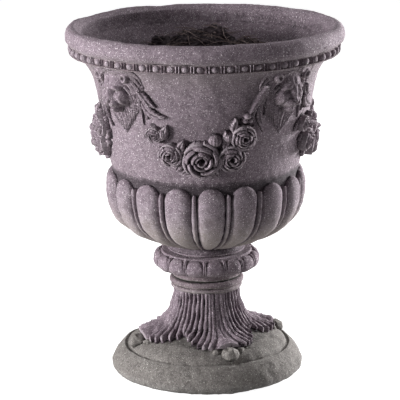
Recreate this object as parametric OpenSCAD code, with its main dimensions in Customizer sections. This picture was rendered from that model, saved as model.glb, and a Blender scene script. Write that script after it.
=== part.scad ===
// Footed garden urn in cast stone: a bell bowl with lion masks and rose garlands
// over a band of rounded lobes, standing loose in the socket of a leafy pedestal.
// Millimetres. The origin is the centre of the underside, +Z is up and -Y is the front.

/* [Foot] */
// Radius of the foot disc at its widest
disc_r = 142; // [134:1:156]
// Height of the foot disc up to its groove
disc_h = 40; // [34:1:50]
// Radius of the raised step on the disc
step_r = 96; // [90:1:102]
// Height of the raised step
step_h = 14; // [10:1:18]
// Width of the rim that the foot stands on
foot_rim_w = 24; // [16:1:34]
// Depth of the hollow under the foot
foot_hollow_h = 28; // [16:1:30]

/* [Stem] */
// Height of the flared stem
stem_h = 72; // [66:1:90]
// Radius of the stem at its top
stem_top_r = 41; // [38:1:46]
// Radius of the stem at its foot
stem_foot_r = 82; // [76:1:86]
// Radius of the way for water through neck and stem
way_r = 22; // [16:1:24]

/* [Leaves on the stem] */
// Turn of the first leaf from the front
leaf_turn = 20; // [0:1:45]
// Distance of the curled leaf tips from the axis
tip_dist = 108; // [104:1:112]
// Radius of a curled leaf tip
tip_r = 12; // [10:0.5:14]
// How far a curled tip's middle lies under the top of the step
tip_drop = 3; // [0:0.5:5]
// Thickness of a leaf
leaf_t = 7; // [5:0.5:8]
// Depth of the grooves between a leaf's ribs
leaf_groove = 2.6; // [1:0.2:3]
// Ribs on each side of a leaf
leaf_ribs = 6; // [5:1:8]

/* [Socket] */
// Outer radius of the socket ring
socket_r = 55; // [52:1:60]
// Height of the socket ring
socket_h = 16; // [14:1:24]
// Radius of the hole in the socket ring
socket_hole_r = 35; // [32:1:36]
// Thickness of the bedding ring in the joint
bed_t = 2.4; // [1.6:0.2:4]
// Gap round the spigot in its socket
spigot_gap = 1; // [0.6:0.2:2]

/* [Neck and knot] */
// Radius of the neck under the knot
neck_r = 51; // [49:1:56]
// Height of the neck
neck_h = 11; // [4:1:16]
// Outer radius of the knot
knot_r = 78; // [72:1:84]
// Height of the knot
knot_h = 27; // [22:1:34]
// Outer radius of the collar's lower lip
collar_r = 61; // [58:1:64]
// Height of the collar
collar_h = 14; // [12:1:20]

/* [Lobed bowl] */
// Number of lobes
lobe_count = 18; // [12:2:24]
// Outer radius over the lobes
lobe_r = 148; // [144:1:152]
// Height of the lobed bowl
lobed_h = 109; // [100:1:120]
// Height of the round top of a lobe
lobe_top_h = 24; // [20:1:28]
// How far the lobes stand out
lobe_relief = 12; // [8:1:14]
// Thickness of the lobed skin between two lobes
skin_t = 4; // [3:0.5:6]
// Thickness of the stone walls
wall_t = 18; // [14:1:22]
// Radius of the drain hole
drain_r = 12; // [8:1:14]

/* [Bell] */
// Radius of the bell at its foot
bell_foot_r = 135; // [132:1:138]
// Height of the straight part of the bell
bell_h = 126; // [120:1:140]
// How far the bell leans out over its straight part
bell_lean = 25; // [20:1:30]
// Height of the cove under the band
cove_h = 48; // [40:1:54]
// How far the cove reaches out
cove_reach = 30; // [26:1:34]

/* [Band and lip] */
// Height of the egg band
band_h = 12; // [11:1:18]
// Thickness of the egg band
band_t = 4; // [3:0.5:6]
// Number of eggs on the band
egg_count = 60; // [40:4:72]
// Radius of an egg
egg_r = 4.6; // [3.8:0.1:4.8]
// Height of the rolled lip
lip_h = 26; // [22:1:32]
// Thickness of the rolled lip
lip_t = 21; // [18:1:24]
// How far the lip stands out past the band seat
lip_out = 11; // [8:1:13]

/* [Ornament] */
// Height of a lion mask
mask_h = 92; // [80:1:96]
// Half the width of a lion's mane
mane_w = 45; // [38:1:48]
// How far a lion's muzzle stands out
muzzle_out = 26; // [18:1:30]
// How far a garland hangs below its ends
swag_drop = 82; // [66:1:84]
// Half the angle that a garland spans
swag_angle = 29; // [26:0.5:30]
// How far a garland's foliage stands out
swag_out = 15; // [10:1:18]
// Radius of the middle rose of a garland
rose_r = 23; // [18:1:24]

/* [Soil] */
// Depth of the soil's level below the top of the lip
soil_depth = 80; // [60:1:100]
// Radius of the root ball
mound_r = 112; // [90:1:116]
// Height of the root ball's top above the soil's level
mound_h = 56; // [30:1:58]
// Height of the lumps on the root ball
lump_h = 4; // [2:0.5:5]

/* [Fits] */
// Gap between an ornament and the surface that it is bonded to
seat_gap = 0.3; // [0.2:0.1:0.5]
// Gap above and below the bedding ring
bed_gap = 0.3; // [0.2:0.1:0.5]
// Gap between the soil and the stone
soil_gap = 0.5; // [0.3:0.1:1]

/* [Hidden] */
$fn = 96;

stone = [0.42, 0.39, 0.42];
foot_stone = [0.36, 0.39, 0.36];
dark_joint = [0.12, 0.12, 0.10];
soil_brown = [0.10, 0.09, 0.09];

// Heights of the stages, from the floor up
step_z = disc_h + step_h;
stem_top_z = step_z + stem_h;
socket_top_z = stem_top_z + socket_h;
neck_z = socket_top_z + bed_t + 2 * bed_gap;
knot_z = neck_z + neck_h;
collar_z = knot_z + knot_h;
lobed_z = collar_z + collar_h;
bell_z = lobed_z + lobed_h;
cove_z = bell_z + bell_h;
band_z = cove_z + cove_h;
lip_z = band_z + band_h;
top_z = lip_z + lip_h;

bell_neck_r = bell_foot_r + bell_lean;
band_seat_r = bell_neck_r + cove_reach;
lip_mid_r = band_seat_r + lip_out - lip_t / 2;
spigot_r = socket_hole_r - spigot_gap;
spigot_floor_gap = 2;
knot_top_r = knot_r - knot_h / 2;

function mix(a, b, t) = a + (b - a) * t;
function bez2(p, t) = (1 - t) ^ 2 * p[0] + 2 * t * (1 - t) * p[1] + t ^ 2 * p[2];
function bez3(p, t) = (1 - t) ^ 3 * p[0] + 3 * t * (1 - t) ^ 2 * p[1]
                    + 3 * t ^ 2 * (1 - t) * p[2] + t ^ 3 * p[3];
function hill(x, y, w, h) = exp(-(x / w) ^ 2 - (y / h) ^ 2);
function arc(mid, rx, ry, a0, a1, steps) =
    [for (i = [0 : steps]) let (a = mix(a0, a1, i / steps)) mid + [rx * cos(a), ry * sin(a)]];

// Outside of the bell: a straight lean, then a cove that sweeps out under the band
cove = [[bell_neck_r, cove_z],
        [bell_neck_r + cove_reach * 0.25, band_z - cove_h * 0.2],
        [band_seat_r, band_z]];
function cove_t(z) =
    let (a = cove[0].y - 2 * cove[1].y + cove[2].y, b = 2 * (cove[1].y - cove[0].y))
    (-b + sqrt(b * b - 4 * a * (cove[0].y - z))) / (2 * a);
function bell_r(z) = z < cove_z
    ? mix(bell_foot_r, bell_neck_r, (z - bell_z) / bell_h)
    : bez2(cove, cove_t(min(z, band_z)))[0];

// Ground line of the lobed bowl, from the collar up to the bell's foot
ground_low_r = collar_r - 8;
ground_wide_r = lobe_r - lobe_relief;
lobe_wide_z = bell_z - lobe_top_h;
lobe_body_h = lobe_wide_z - lobed_z;
ground = [[ground_low_r, lobed_z],
          [mix(ground_low_r, ground_wide_r, 0.62), lobed_z + lobe_body_h * 0.24],
          [ground_wide_r, lobed_z + lobe_body_h * 0.42],
          [ground_wide_r, lobe_wide_z]];
body_rows = 8;
top_rows = 4;
rows = body_rows + top_rows;
function ground_at(i) = i <= body_rows
    ? bez3(ground, i / body_rows)
    : [mix(ground_wide_r, bell_foot_r, (i - body_rows) / top_rows),
       lobe_wide_z + lobe_top_h * sin(90 * (i - body_rows) / top_rows)];
function normal_at(i) = i >= body_rows ? [1, 0]
    : let (a = ground_at(max(i - 0.25, 0)), b = ground_at(i + 0.25), d = (b - a) / norm(b - a))
      [d.y, -d.x];
// Height of a lobe over the ground at row i and at u, from -1 to 1 across the lobe
function lobe_rise(i, u) =
    let (up = max(0, (i - body_rows) / top_rows), half = max(cos(90 * up), 0.001),
         size = min(1, ground_at(i)[0] / ground_wide_r))
    abs(u) >= half ? 0 : lobe_relief * size * half * sqrt(1 - (u / half) ^ 2);

// Outside of the stem, from its top down to its foot
stem_curve = [[stem_top_r, stem_top_z], [stem_top_r, step_z + stem_h * 0.36],
              [stem_foot_r, step_z]];

module ring_of(points) { rotate_extrude() polygon(points); }

// Points of the disc's sloped shoulder: way in from its edge, share of its height
shoulder = [[-2, 0.43], [-4.5, 0.54], [-8, 0.66], [-12, 0.78], [-16, 0.89]];
// Points of the slope up to the step: share of its width, share of its height
bevel = [[0.3, 0.55], [0.55, 0.82], [0.8, 0.96], [1, 1]];

module plinth_profile(extra) {
    groove_r = disc_r - 20;
    polygon(concat(
        [[0, 0], [disc_r - 8, 0], [disc_r - 3, 3], [disc_r + extra, 8], [disc_r + extra, 12]],
        [for (p = shoulder) [disc_r + p[0] + extra, disc_h * p[1] + extra]],
        [[groove_r, disc_h - 0.8 + extra], [groove_r - 3, disc_h + 0.5 + extra]],
        [for (p = bevel) [mix(groove_r - 3, step_r - 6, p[0]) + extra, disc_h + step_h * p[1] + extra]],
        [[0, step_z + extra]]));
}

module plinth() {
    color(foot_stone) difference() {
        rotate_extrude() plinth_profile(0);
        translate([0, 0, -1])
            cylinder(h = foot_hollow_h + 1, r1 = disc_r - foot_rim_w - 6, r2 = step_r - 20);
        cylinder(h = step_z + 1, r = way_r);
    }
}

module stem() {
    steps = 10;
    color(stone) ring_of(concat(
        [for (i = [0 : steps]) bez2(stem_curve, i / steps)],
        [[way_r, step_z], [way_r, stem_top_z]]));
}

// A closed skin over a grid: front and back are functions of column i and row j
module grid_skin(cols, rws, front, back) {
    w = cols + 1;
    n = w * (rws + 1);
    pts = concat([for (j = [0 : rws], i = [0 : cols]) front(i, j)],
                 [for (j = [0 : rws], i = [0 : cols]) back(i, j)]);
    faces = concat(
        [for (j = [0 : rws - 1], i = [0 : cols - 1], k = [0, 1]) let (a = j * w + i)
            k == 0 ? [a, a + w, a + 1] : [a + 1, a + w, a + w + 1]],
        [for (j = [0 : rws - 1], i = [0 : cols - 1], k = [0, 1]) let (a = n + j * w + i)
            k == 0 ? [a, a + 1, a + w] : [a + 1, a + w + 1, a + w]],
        [for (i = [0 : cols - 1], k = [0, 1]) let (a = i)
            k == 0 ? [a, a + 1, n + a + 1] : [a, n + a + 1, n + a]],
        [for (i = [0 : cols - 1], k = [0, 1]) let (a = rws * w + i)
            k == 0 ? [a, n + a + 1, a + 1] : [a, n + a, n + a + 1]],
        [for (j = [0 : rws - 1], k = [0, 1]) let (a = j * w)
            k == 0 ? [a, n + a, a + w] : [n + a, n + a + w, a + w]],
        [for (j = [0 : rws - 1], k = [0, 1]) let (a = j * w + cols)
            k == 0 ? [a, a + w, n + a] : [n + a, a + w, n + a + w]]);
    polyhedron(points = pts, faces = faces, convexity = 6);
}

// Point at distance r, height z and angle a from the front
function turned(r, a, z) = [r * sin(a), -r * cos(a), z];

// One leaf of four: it hugs the stem from the top and then reaches out to its curled tip
leaf_count = 4;
leaf_cols = 4 * leaf_ribs + 2;
leaf_rows = 12;
leaf_hug = 0.76;
function leaf_path(v) =
    v <= leaf_hug
        ? bez2(stem_curve, v * 0.98 + 0.02)
        : mix(bez2(stem_curve, leaf_hug * 0.98 + 0.02),
              [tip_dist - tip_r * 0.6, step_z + leaf_t * 0.35], (v - leaf_hug) / (1 - leaf_hug));
function leaf_normal(v) =
    let (a = leaf_path(max(v - 0.02, 0)), b = leaf_path(min(v + 0.02, 1)), d = (b - a) / norm(b - a))
    [-d.y, d.x];
function leaf_half_angle(v) = v < 0.78 ? 44 : mix(44, 10, ((v - 0.78) / 0.22) ^ 0.8);
// Share of a leaf's width that its smooth midrib takes
function leaf_mid(v) = mix(0.12, 0.24, min(1, v / 0.78) ^ 2) + 0.24 * max(0, (v - 0.78) / 0.22) ^ 1.3;
// Two columns to a rib: the even ones, counted from the midrib, lie in the grooves
function leaf_u(i, v) = let (c = leaf_cols / 2 - i, m = leaf_mid(v))
    c == 0 ? 0 : sign(c) * mix(m, 1, (abs(c) - 1) / (2 * leaf_ribs));
function leaf_groove_at(i, v) =
    abs(leaf_cols / 2 - i) % 2 == 0 ? 0
    : leaf_groove * mix(0.65, 1, min(1, v / 0.3)) * min(1, max(0, (0.96 - v) / 0.16));
function leaf_front(i, j) =
    let (v = j / leaf_rows, u = leaf_u(i, v),
         t = leaf_t * (1 - 0.3 * u * u) * mix(0.85, 1, min(1, v / 0.25)) - leaf_groove_at(i, v),
         p = leaf_path(v) + leaf_normal(v) * (seat_gap + t))
    turned(p[0], u * leaf_half_angle(v), p[1]);
function leaf_back(i, j) =
    let (v = j / leaf_rows, p = leaf_path(v) + leaf_normal(v) * seat_gap)
    turned(p[0], leaf_u(i, v) * leaf_half_angle(v), p[1]);

module acanthus_leaf(k) {
    color(stone) rotate([0, 0, leaf_turn + k * 360 / leaf_count]) union() {
        grid_skin(leaf_cols, leaf_rows, function(i, j) leaf_front(i, j),
                  function(i, j) leaf_back(i, j));
        difference() {
            translate([0, -tip_dist, step_z - tip_drop]) sphere(r = tip_r, $fn = 32);
            rotate_extrude() plinth_profile(seat_gap);
        }
    }
}

module socket_ring() {
    step_w = (socket_r - stem_top_r) / 2;
    color(stone) ring_of(concat(
        [[socket_hole_r, stem_top_z], [stem_top_r + 2, stem_top_z]],
        arc([stem_top_r + 2 + step_w, stem_top_z], step_w, socket_h * 0.45, 170, 90, 5),
        arc([socket_r - 4, socket_top_z - 5], 4, 5, -80, 90, 8),
        [[socket_hole_r, socket_top_z]]));
}

module bedding_ring() {
    color(dark_joint) translate([0, 0, socket_top_z + bed_gap]) difference() {
        cylinder(h = bed_t, r = neck_r - 2);
        translate([0, 0, -1]) cylinder(h = bed_t + 2, r = socket_hole_r);
    }
}

module neck_spigot() {
    color(stone) difference() {
        union() {
            translate([0, 0, neck_z]) cylinder(h = neck_h, r = neck_r);
            translate([0, 0, stem_top_z + spigot_floor_gap])
                cylinder(h = neck_z - stem_top_z - spigot_floor_gap + 1, r = spigot_r);
        }
        translate([0, 0, stem_top_z]) cylinder(h = knot_z - stem_top_z + 1, r = way_r);
    }
}

module knot() {
    color(stone) ring_of(concat(
        [[way_r, knot_z]],
        arc([knot_top_r, knot_z + knot_h / 2], knot_h / 2, knot_h / 2, -90, 90, 16),
        [[way_r, collar_z]]));
}

module collar() {
    top_r = ground_low_r - 1;
    color(stone) ring_of([[way_r, collar_z], [collar_r - 2, collar_z], [collar_r, collar_z + 2],
        [collar_r - 1, collar_z + 4], [mix(top_r, collar_r, 0.35), collar_z + collar_h * 0.5],
        [top_r, lobed_z], [way_r, lobed_z]]);
}

// Line set in from the lobed bowl's ground by d
function ground_in(d) = [for (i = [0 : rows]) ground_at(i) - normal_at(i) * d];

module lower_bowl() {
    outer = ground_in(skin_t + seat_gap);
    inner = ground_in(skin_t + seat_gap + wall_t);
    floor_z = inner[0].y;
    color(stone) ring_of(concat(
        [[drain_r, lobed_z], [outer[0].x, lobed_z]], outer,
        [for (i = [rows : -1 : 0]) inner[i]], [[drain_r, floor_z]]));
}

module gadroons() {
    per_lobe = 6;
    cols = lobe_count * per_lobe;
    inner = ground_in(skin_t);
    turn = 5;
    pts = concat(
        [for (i = [0 : rows], c = [0 : cols - 1])
            let (u = 2 * (c % per_lobe) / per_lobe - 1,
                 p = ground_at(i) + normal_at(i) * lobe_rise(i, u))
            turned(p[0], (c / per_lobe - 0.5) * 360 / lobe_count + turn, p[1])],
        [for (i = [rows : -1 : 0], c = [0 : cols - 1])
            turned(inner[i][0], (c / per_lobe - 0.5) * 360 / lobe_count + turn, inner[i][1])]);
    loops = 2 * (rows + 1);
    faces = [for (i = [0 : loops - 1], c = [0 : cols - 1], k = [0, 1])
        let (a = i * cols + c, b = i * cols + (c + 1) % cols,
             d = ((i + 1) % loops) * cols + c, e = ((i + 1) % loops) * cols + (c + 1) % cols)
        k == 0 ? [a, d, b] : [b, d, e]];
    color(stone) polyhedron(points = pts, faces = faces, convexity = 8);
}

// Inside radii of the bell at its foot and at the cove
bell_in_foot_r = bell_foot_r - wall_t - skin_t - seat_gap;
bell_in_neck_r = bell_neck_r - wall_t - 2;

module bell() {
    color(stone) ring_of([[bell_foot_r, bell_z], [bell_neck_r, cove_z],
        [bell_in_neck_r, cove_z], [bell_in_foot_r, bell_z]]);
}

module flared_rim() {
    steps = 12;
    bend_z = band_z - cove_h * 0.2;
    inside = [[lip_mid_r - lip_t / 2, top_z - lip_h * 0.45],
              [bell_r(bend_z) - wall_t, bend_z],
              [bell_in_neck_r, cove_z]];
    color(stone) ring_of(concat(
        [for (i = [0 : steps]) bez2(cove, i / steps)],
        [[band_seat_r, lip_z]],
        arc([lip_mid_r, lip_z + lip_h * 0.48], lip_t / 2, lip_h * 0.52, -62, 180, 24),
        [for (i = [0 : steps]) bez2(inside, i / steps)]));
}

module egg_band() {
    seat_r = band_seat_r + seat_gap;
    egg_stand = 2.2;
    fillet_h = 1;
    edge_r = seat_r + band_t + egg_stand - 0.2;
    egg_z = (band_z + 2 * fillet_h + lip_z - 1) / 2;
    color(stone) {
        ring_of([[seat_r, band_z], [edge_r, band_z], [edge_r, band_z + fillet_h],
            [seat_r + band_t, band_z + 2 * fillet_h], [seat_r + band_t, lip_z - 1],
            [seat_r, lip_z - 1]]);
        for (i = [0 : egg_count - 1])
            rotate([0, 0, i * 360 / egg_count])
                translate([0, -(seat_r + band_t + egg_stand - egg_r), egg_z])
                    intersection() {
                        sphere(r = egg_r, $fn = 24);
                        translate([-egg_r, -egg_r, -egg_r])
                            cube([2 * egg_r, egg_r * 0.9, 2 * egg_r]);
                    }
    }
}

// Height of the lion's head over the bell, x across and z up from the middle of the mask
function lion_rise(x, z, half) =
    let (edge = max(0, 1 - (x / half) ^ 2))
    1.5 + 6 * edge
    + (muzzle_out - 12) * hill(x, z - 2, 17, 24)
    + 8 * hill(x, z + 12, 9, 9)
    + 6 * (hill(x - 22, z - 28, 7, 7) + hill(x + 22, z - 28, 7, 7));
function mane_half(v) = v < 0.8
    ? mix(5, mane_w, (v / 0.8) ^ 1.15)
    : mix(mane_w, mane_w * 0.85, ((v - 0.8) / 0.2) ^ 1.5);
mask_cols = 10;
mask_rows = 12;

module lion_mask(k) {
    low_z = band_z - 1 - mask_h;
    function place(i, j, out) =
        let (v = j / mask_rows, half = mane_half(v), x = (2 * i / mask_cols - 1) * half,
             z = low_z + mask_h * v, r = bell_r(z) + seat_gap / cos(45))
        turned(r + (out ? lion_rise(x, z - low_z - mask_h * 0.55, half) : 0),
               x / bell_r(z) * 180 / PI, z);
    color(stone) rotate([0, 0, 45 + 90 * k])
        grid_skin(mask_cols, mask_rows, function(i, j) place(i, j, true),
                  function(i, j) place(i, j, false));
}

// Middle line of a garland, s from -1 to 1: angle from its middle and height
function swag_at(s) =
    [s * swag_angle, cove_z - swag_drop * (1 - abs(s) ^ 3.2)];
swag_cols = 6;
swag_rows = 28;

module garland(k) {
    function flat(s) = let (p = swag_at(s)) [p[0] * PI / 180 * bell_foot_r * 1.1, p[1]];
    function place(i, j, out) =
        let (u = 2 * i / swag_cols - 1, s = 2 * j / swag_rows - 1,
             d = flat(min(s + 0.02, 1)) - flat(max(s - 0.02, -1)), n = [d.y, -d.x] / norm(d),
             half = mix(16, 10, abs(s) ^ 2) + (j % 2 == 0 ? 2.5 : -1.5),
             p = flat(s) + n * u * half,
             rise = 1.5 + mix(swag_out, 6, abs(s) ^ 2) * sqrt(1 - 0.9 * u * u),
             r = bell_r(p[1]) + seat_gap / cos(45) + (out ? rise : 0))
        turned(r, p[0] / (PI / 180 * bell_foot_r * 1.1), p[1]);
    color(stone) rotate([0, 0, 90 * k])
        grid_skin(swag_cols, swag_rows, function(i, j) place(i, j, true),
                  function(i, j) place(i, j, false));
}

// The roses of one garland: angle from its middle, then height above its lowest point and
// radius, both as shares of the middle rose's radius
rose_list = [[-25, 1.56, 0.43], [-16.5, 0.35, 0.65], [0, 0.17, 1], [15.5, 0.17, 0.74],
             [21.5, 1.48, 0.65]];

// A rose that faces along -Y, with three rings of petals round a heart
module rose(r) {
    d = r * 0.62;
    rotate([90, 0, 0]) rotate_extrude($fn = 48) polygon(concat(
        [[0, 0], [r * 0.8, 0]],
        arc([r * 0.84, d * 0.5], r * 0.16, d * 0.4, -60, 130, 8),
        [[r * 0.7, d * 0.55]],
        arc([r * 0.6, d * 0.8], r * 0.1, d * 0.2, 0, 140, 6),
        [[r * 0.45, d * 0.6]],
        arc([r * 0.36, d * 0.9], r * 0.1, d * 0.2, 0, 140, 6),
        [[r * 0.22, d * 0.62]],
        arc([0, d * 0.7], r * 0.2, d * 0.4, 0, 90, 5)));
}

module roses(k) {
    lean = atan(bell_lean / bell_h);
    color(stone) rotate([0, 0, 90 * k]) for (f = rose_list) {
        z = cove_z - swag_drop + f[1] * rose_r;
        stand = seat_gap + 0.4 + swag_out * 0.45 * f[2];
        rotate([0, 0, f[0]])
            translate([0, -bell_r(z) - stand, z]) rotate([lean, 0, 0]) rose(f[2] * rose_r);
    }
}

// Heights of the root ball over the soil's level, with its lumps
mound_at = [6, 16];
function soil_lump(x, y) = lump_h * (sin(6.2 * (x + 0.4 * y) + 30) * cos(5.4 * (y - 0.35 * x))
                                     + 0.4 * sin(11 * (x - 0.8 * y) + 100));
function soil_ball(x, y) =
    let (ball_r = (mound_r ^ 2 + mound_h ^ 2) / (2 * mound_h), far = norm([x, y] - mound_at))
    mound_h - ball_r + sqrt(max(0, ball_r ^ 2 - far ^ 2)) - 1.5 * lump_h;

// A round body under a lumpy top, from z = 0 down to its flat underside
module lumpy_cap(r, low) {
    rings = 15;
    n = 48;
    function spot(j, i) = let (d = r * j / rings, x = d * cos(360 * i / n), y = d * sin(360 * i / n))
        [x, y, max(low / 2, soil_ball(x, y) + soil_lump(x, y))];
    last = 1 + rings * n;
    pts = concat([spot(0, 0)], [for (j = [1 : rings], i = [0 : n - 1]) spot(j, i)],
                 [for (i = [0 : n - 1]) [r * cos(360 * i / n), r * sin(360 * i / n), low]], [[0, 0, low]]);
    faces = concat(
        [for (i = [0 : n - 1]) [0, 1 + (i + 1) % n, 1 + i]],
        [for (j = [0 : rings - 1], i = [0 : n - 1], k = [0, 1])
            let (a = 1 + j * n + i, b = 1 + j * n + (i + 1) % n) k == 0 ? [a, b, b + n] : [a, b + n, a + n]],
        [for (i = [0 : n - 1]) [last + n, last + i, last + (i + 1) % n]]);
    polyhedron(points = pts, faces = faces, convexity = 6);
}

module potting_soil() {
    bowl = ground_in(skin_t + seat_gap + wall_t);
    level_z = top_z - soil_depth;
    level_r = mix(bell_in_foot_r, bell_in_neck_r, min(1, (level_z - bell_z) / bell_h));
    hollow_z = bowl[0].y + 14;
    color(soil_brown) union() {
        ring_of(concat(
            [[0, hollow_z], [drain_r + 8, hollow_z], [drain_r + 8, bowl[0].y + soil_gap]],
            [for (i = [0 : rows]) bowl[i] - normal_at(i) * soil_gap],
            [[level_r - soil_gap, level_z], [0, level_z]]));
        translate([0, 0, level_z]) lumpy_cap(level_r - 4, -6);
    }
}

plinth();
stem();
acanthus_leaf(0);  // acanthus_leaf_1
acanthus_leaf(1);  // acanthus_leaf_2
acanthus_leaf(2);  // acanthus_leaf_3
acanthus_leaf(3);  // acanthus_leaf_4
socket_ring();
bedding_ring();
neck_spigot();
knot();
collar();
lower_bowl();
gadroons();
bell();
flared_rim();
egg_band();
lion_mask(0);  // lion_mask_1
lion_mask(1);  // lion_mask_2
lion_mask(2);  // lion_mask_3
lion_mask(3);  // lion_mask_4
garland(0);  // garland_1
garland(1);  // garland_2
garland(2);  // garland_3
garland(3);  // garland_4
roses(0);  // roses_1
roses(1);  // roses_2
roses(2);  // roses_3
roses(3);  // roses_4
potting_soil();
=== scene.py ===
"""Looks of a footed garden urn in cast stone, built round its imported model.

Shapes are worked out in millimetres and become metres when a mesh is made. The urn stands on the
XY plane with its axis on Z. Angles round the urn are in degrees, from the front (-Y) towards +X.
"""
import logging
import math
from collections.abc import Callable, Sequence
from dataclasses import dataclass, replace
from enum import Enum
from typing import Union

import bpy
import numpy as np
from mathutils import Matrix, Vector


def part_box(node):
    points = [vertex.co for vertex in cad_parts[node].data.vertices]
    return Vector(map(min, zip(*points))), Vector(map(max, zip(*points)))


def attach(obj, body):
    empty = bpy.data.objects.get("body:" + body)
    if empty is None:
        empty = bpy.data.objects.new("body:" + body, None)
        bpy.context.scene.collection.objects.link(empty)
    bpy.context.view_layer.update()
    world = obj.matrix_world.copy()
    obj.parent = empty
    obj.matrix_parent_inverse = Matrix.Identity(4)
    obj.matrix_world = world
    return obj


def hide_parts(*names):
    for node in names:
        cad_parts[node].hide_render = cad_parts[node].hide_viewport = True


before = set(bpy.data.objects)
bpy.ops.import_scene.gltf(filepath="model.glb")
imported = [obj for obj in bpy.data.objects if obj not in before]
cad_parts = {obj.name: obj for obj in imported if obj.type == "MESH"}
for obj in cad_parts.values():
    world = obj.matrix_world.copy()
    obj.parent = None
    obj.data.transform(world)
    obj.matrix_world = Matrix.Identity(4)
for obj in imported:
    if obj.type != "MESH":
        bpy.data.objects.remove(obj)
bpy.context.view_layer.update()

Array = np.ndarray
Values = float | Array
Colour = tuple[float, float, float]
Term = Union["Wire", float]
Steps = Sequence[Sequence[float]]
Place = Callable[[Array, Array, Array], Array]
Carving = Callable[[Array, Array], Array]
Height = Callable[[Array], Array]

LOG = logging.getLogger("urn")
MM = 0.001
SHARP = math.radians(50)
# Painted shade at the foot of ornament: its strength, and the heights over the ground between which it fades.
SHADE, SHADE_LOW, SHADE_HIGH = 1.1, -1.5, 3.0
OUT_OF_SHADE = 5.0
# How far inside the foot's edge its slope starts.
SLOPE_IN = 25.0


class Body(Enum):
    """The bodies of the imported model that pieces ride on."""

    PEDESTAL = "pedestal"
    BOWL = "bowl"


class Slot(Enum):
    """The material slots of the record."""

    STONE = "cast_stone"
    FOOT = "foot_stone"
    SOIL = "soil"


def mix(a: Values, b: Values, t: Values) -> Values:
    """Value between a and b at share t."""
    return a + (b - a) * t


def ease(t: Values) -> Values:
    """Smooth step of t from 0 to 1."""
    t = np.clip(t, 0.0, 1.0)
    return t * t * (3 - 2 * t)


def bezier(points: Sequence[Sequence[float]], t: Array) -> Array:
    """Points of a Bezier curve.

    Args:
        points: Control points, with any number of coordinates.
        t: Shares along the curve, from 0 to 1.

    Returns:
        One point for each share.
    """
    share = np.asarray(t, float)[..., None]
    level = [np.asarray(p, float) for p in points]
    while len(level) > 1:
        level = [mix(a, b, share) for a, b in zip(level, level[1:])]
    return level[0]


def curve(points: Sequence[Sequence[float]], count: int) -> Array:
    """A number of points of a Bezier curve, at even shares."""
    return bezier(points, np.linspace(0, 1, count))


def arc(mid: Sequence[float], radii: Sequence[float], start: float, end: float, count: int) -> Array:
    """Points (r, z) on an elliptic arc.

    Args:
        mid: Middle of the ellipse.
        radii: Half axes along r and z.
        start: First angle in degrees, from the r axis.
        end: Last angle.
        count: Number of points.

    Returns:
        The points, one a row.
    """
    a = np.radians(np.linspace(start, end, count))
    return np.stack([mid[0] + radii[0] * np.cos(a), mid[1] + radii[1] * np.sin(a)], -1)


def line(a: Sequence[float], b: Sequence[float], count: int) -> Array:
    """Evenly spaced points from a to b, without b."""
    return mix(np.asarray(a, float), np.asarray(b, float), np.arange(count)[:, None] / count)


def lines(corners: Steps, counts: Sequence[int]) -> Array:
    """Joins lines from corner to corner.

    Args:
        corners: The corners (r, z).
        counts: Number of points on each line, its end left out.

    Returns:
        The points, one a row.
    """
    return np.concatenate([line(a, b, count) for a, b, count in zip(corners, corners[1:], counts)])


def near(place: Sequence[float], steps: Steps) -> Array:
    """Points at steps (r, z) from a place."""
    return np.asarray(place, float) + np.asarray(steps, float)


def run_length(points: Array) -> Array:
    """Distance from the first point of a line to each of its points."""
    return np.concatenate([[0], np.cumsum(np.linalg.norm(np.diff(points, axis=0), axis=1))])


def turned(radius: Values, angle: Values, height: Values) -> Array:
    """Points at a radius, an angle in degrees from the front and a height."""
    a = np.radians(angle)
    return np.stack(np.broadcast_arrays(radius * np.sin(a), -radius * np.cos(a), height), -1)


def turn_about_axis(points: Array, angle: float) -> Array:
    """Points turned round the urn's axis by an angle in degrees."""
    c, s = math.cos(math.radians(angle)), math.sin(math.radians(angle))
    return points @ np.array([[c, s, 0.0], [-s, c, 0.0], [0.0, 0.0, 1.0]])


@dataclass(frozen=True)
class Unevenness:
    """Smooth random waves that take the machined look off a cast surface.

    Attributes:
        wave: Length of the waves in millimetres.
        amount: Usual height of the waves in millimetres.
        seed: Seed of the waves.
        count: Number of waves added up.
    """

    wave: float
    amount: float
    seed: int
    count: int = 16

    def at(self, points: Array) -> Array:
        """Adds the waves up.

        Args:
            points: Points, one a row.

        Returns:
            The height of the waves at each point.
        """
        rng = np.random.default_rng(self.seed)
        ways = rng.normal(size=(self.count, 3))
        ways /= np.linalg.norm(ways, axis=1)[:, None]
        lengths = self.wave * rng.uniform(0.6, 1.7, self.count)
        phases = rng.uniform(0, 2 * math.pi, self.count)
        total = np.zeros(points.shape[:-1])
        for way, length, phase in zip(ways, lengths, phases):
            total += np.sin(points @ way * (2 * math.pi / length) + phase)
        return total * self.amount / math.sqrt(self.count / 2)


CAST = (Unevenness(46, 0.35, 3), Unevenness(13, 0.16, 4), Unevenness(4.2, 0.09, 5))


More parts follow.
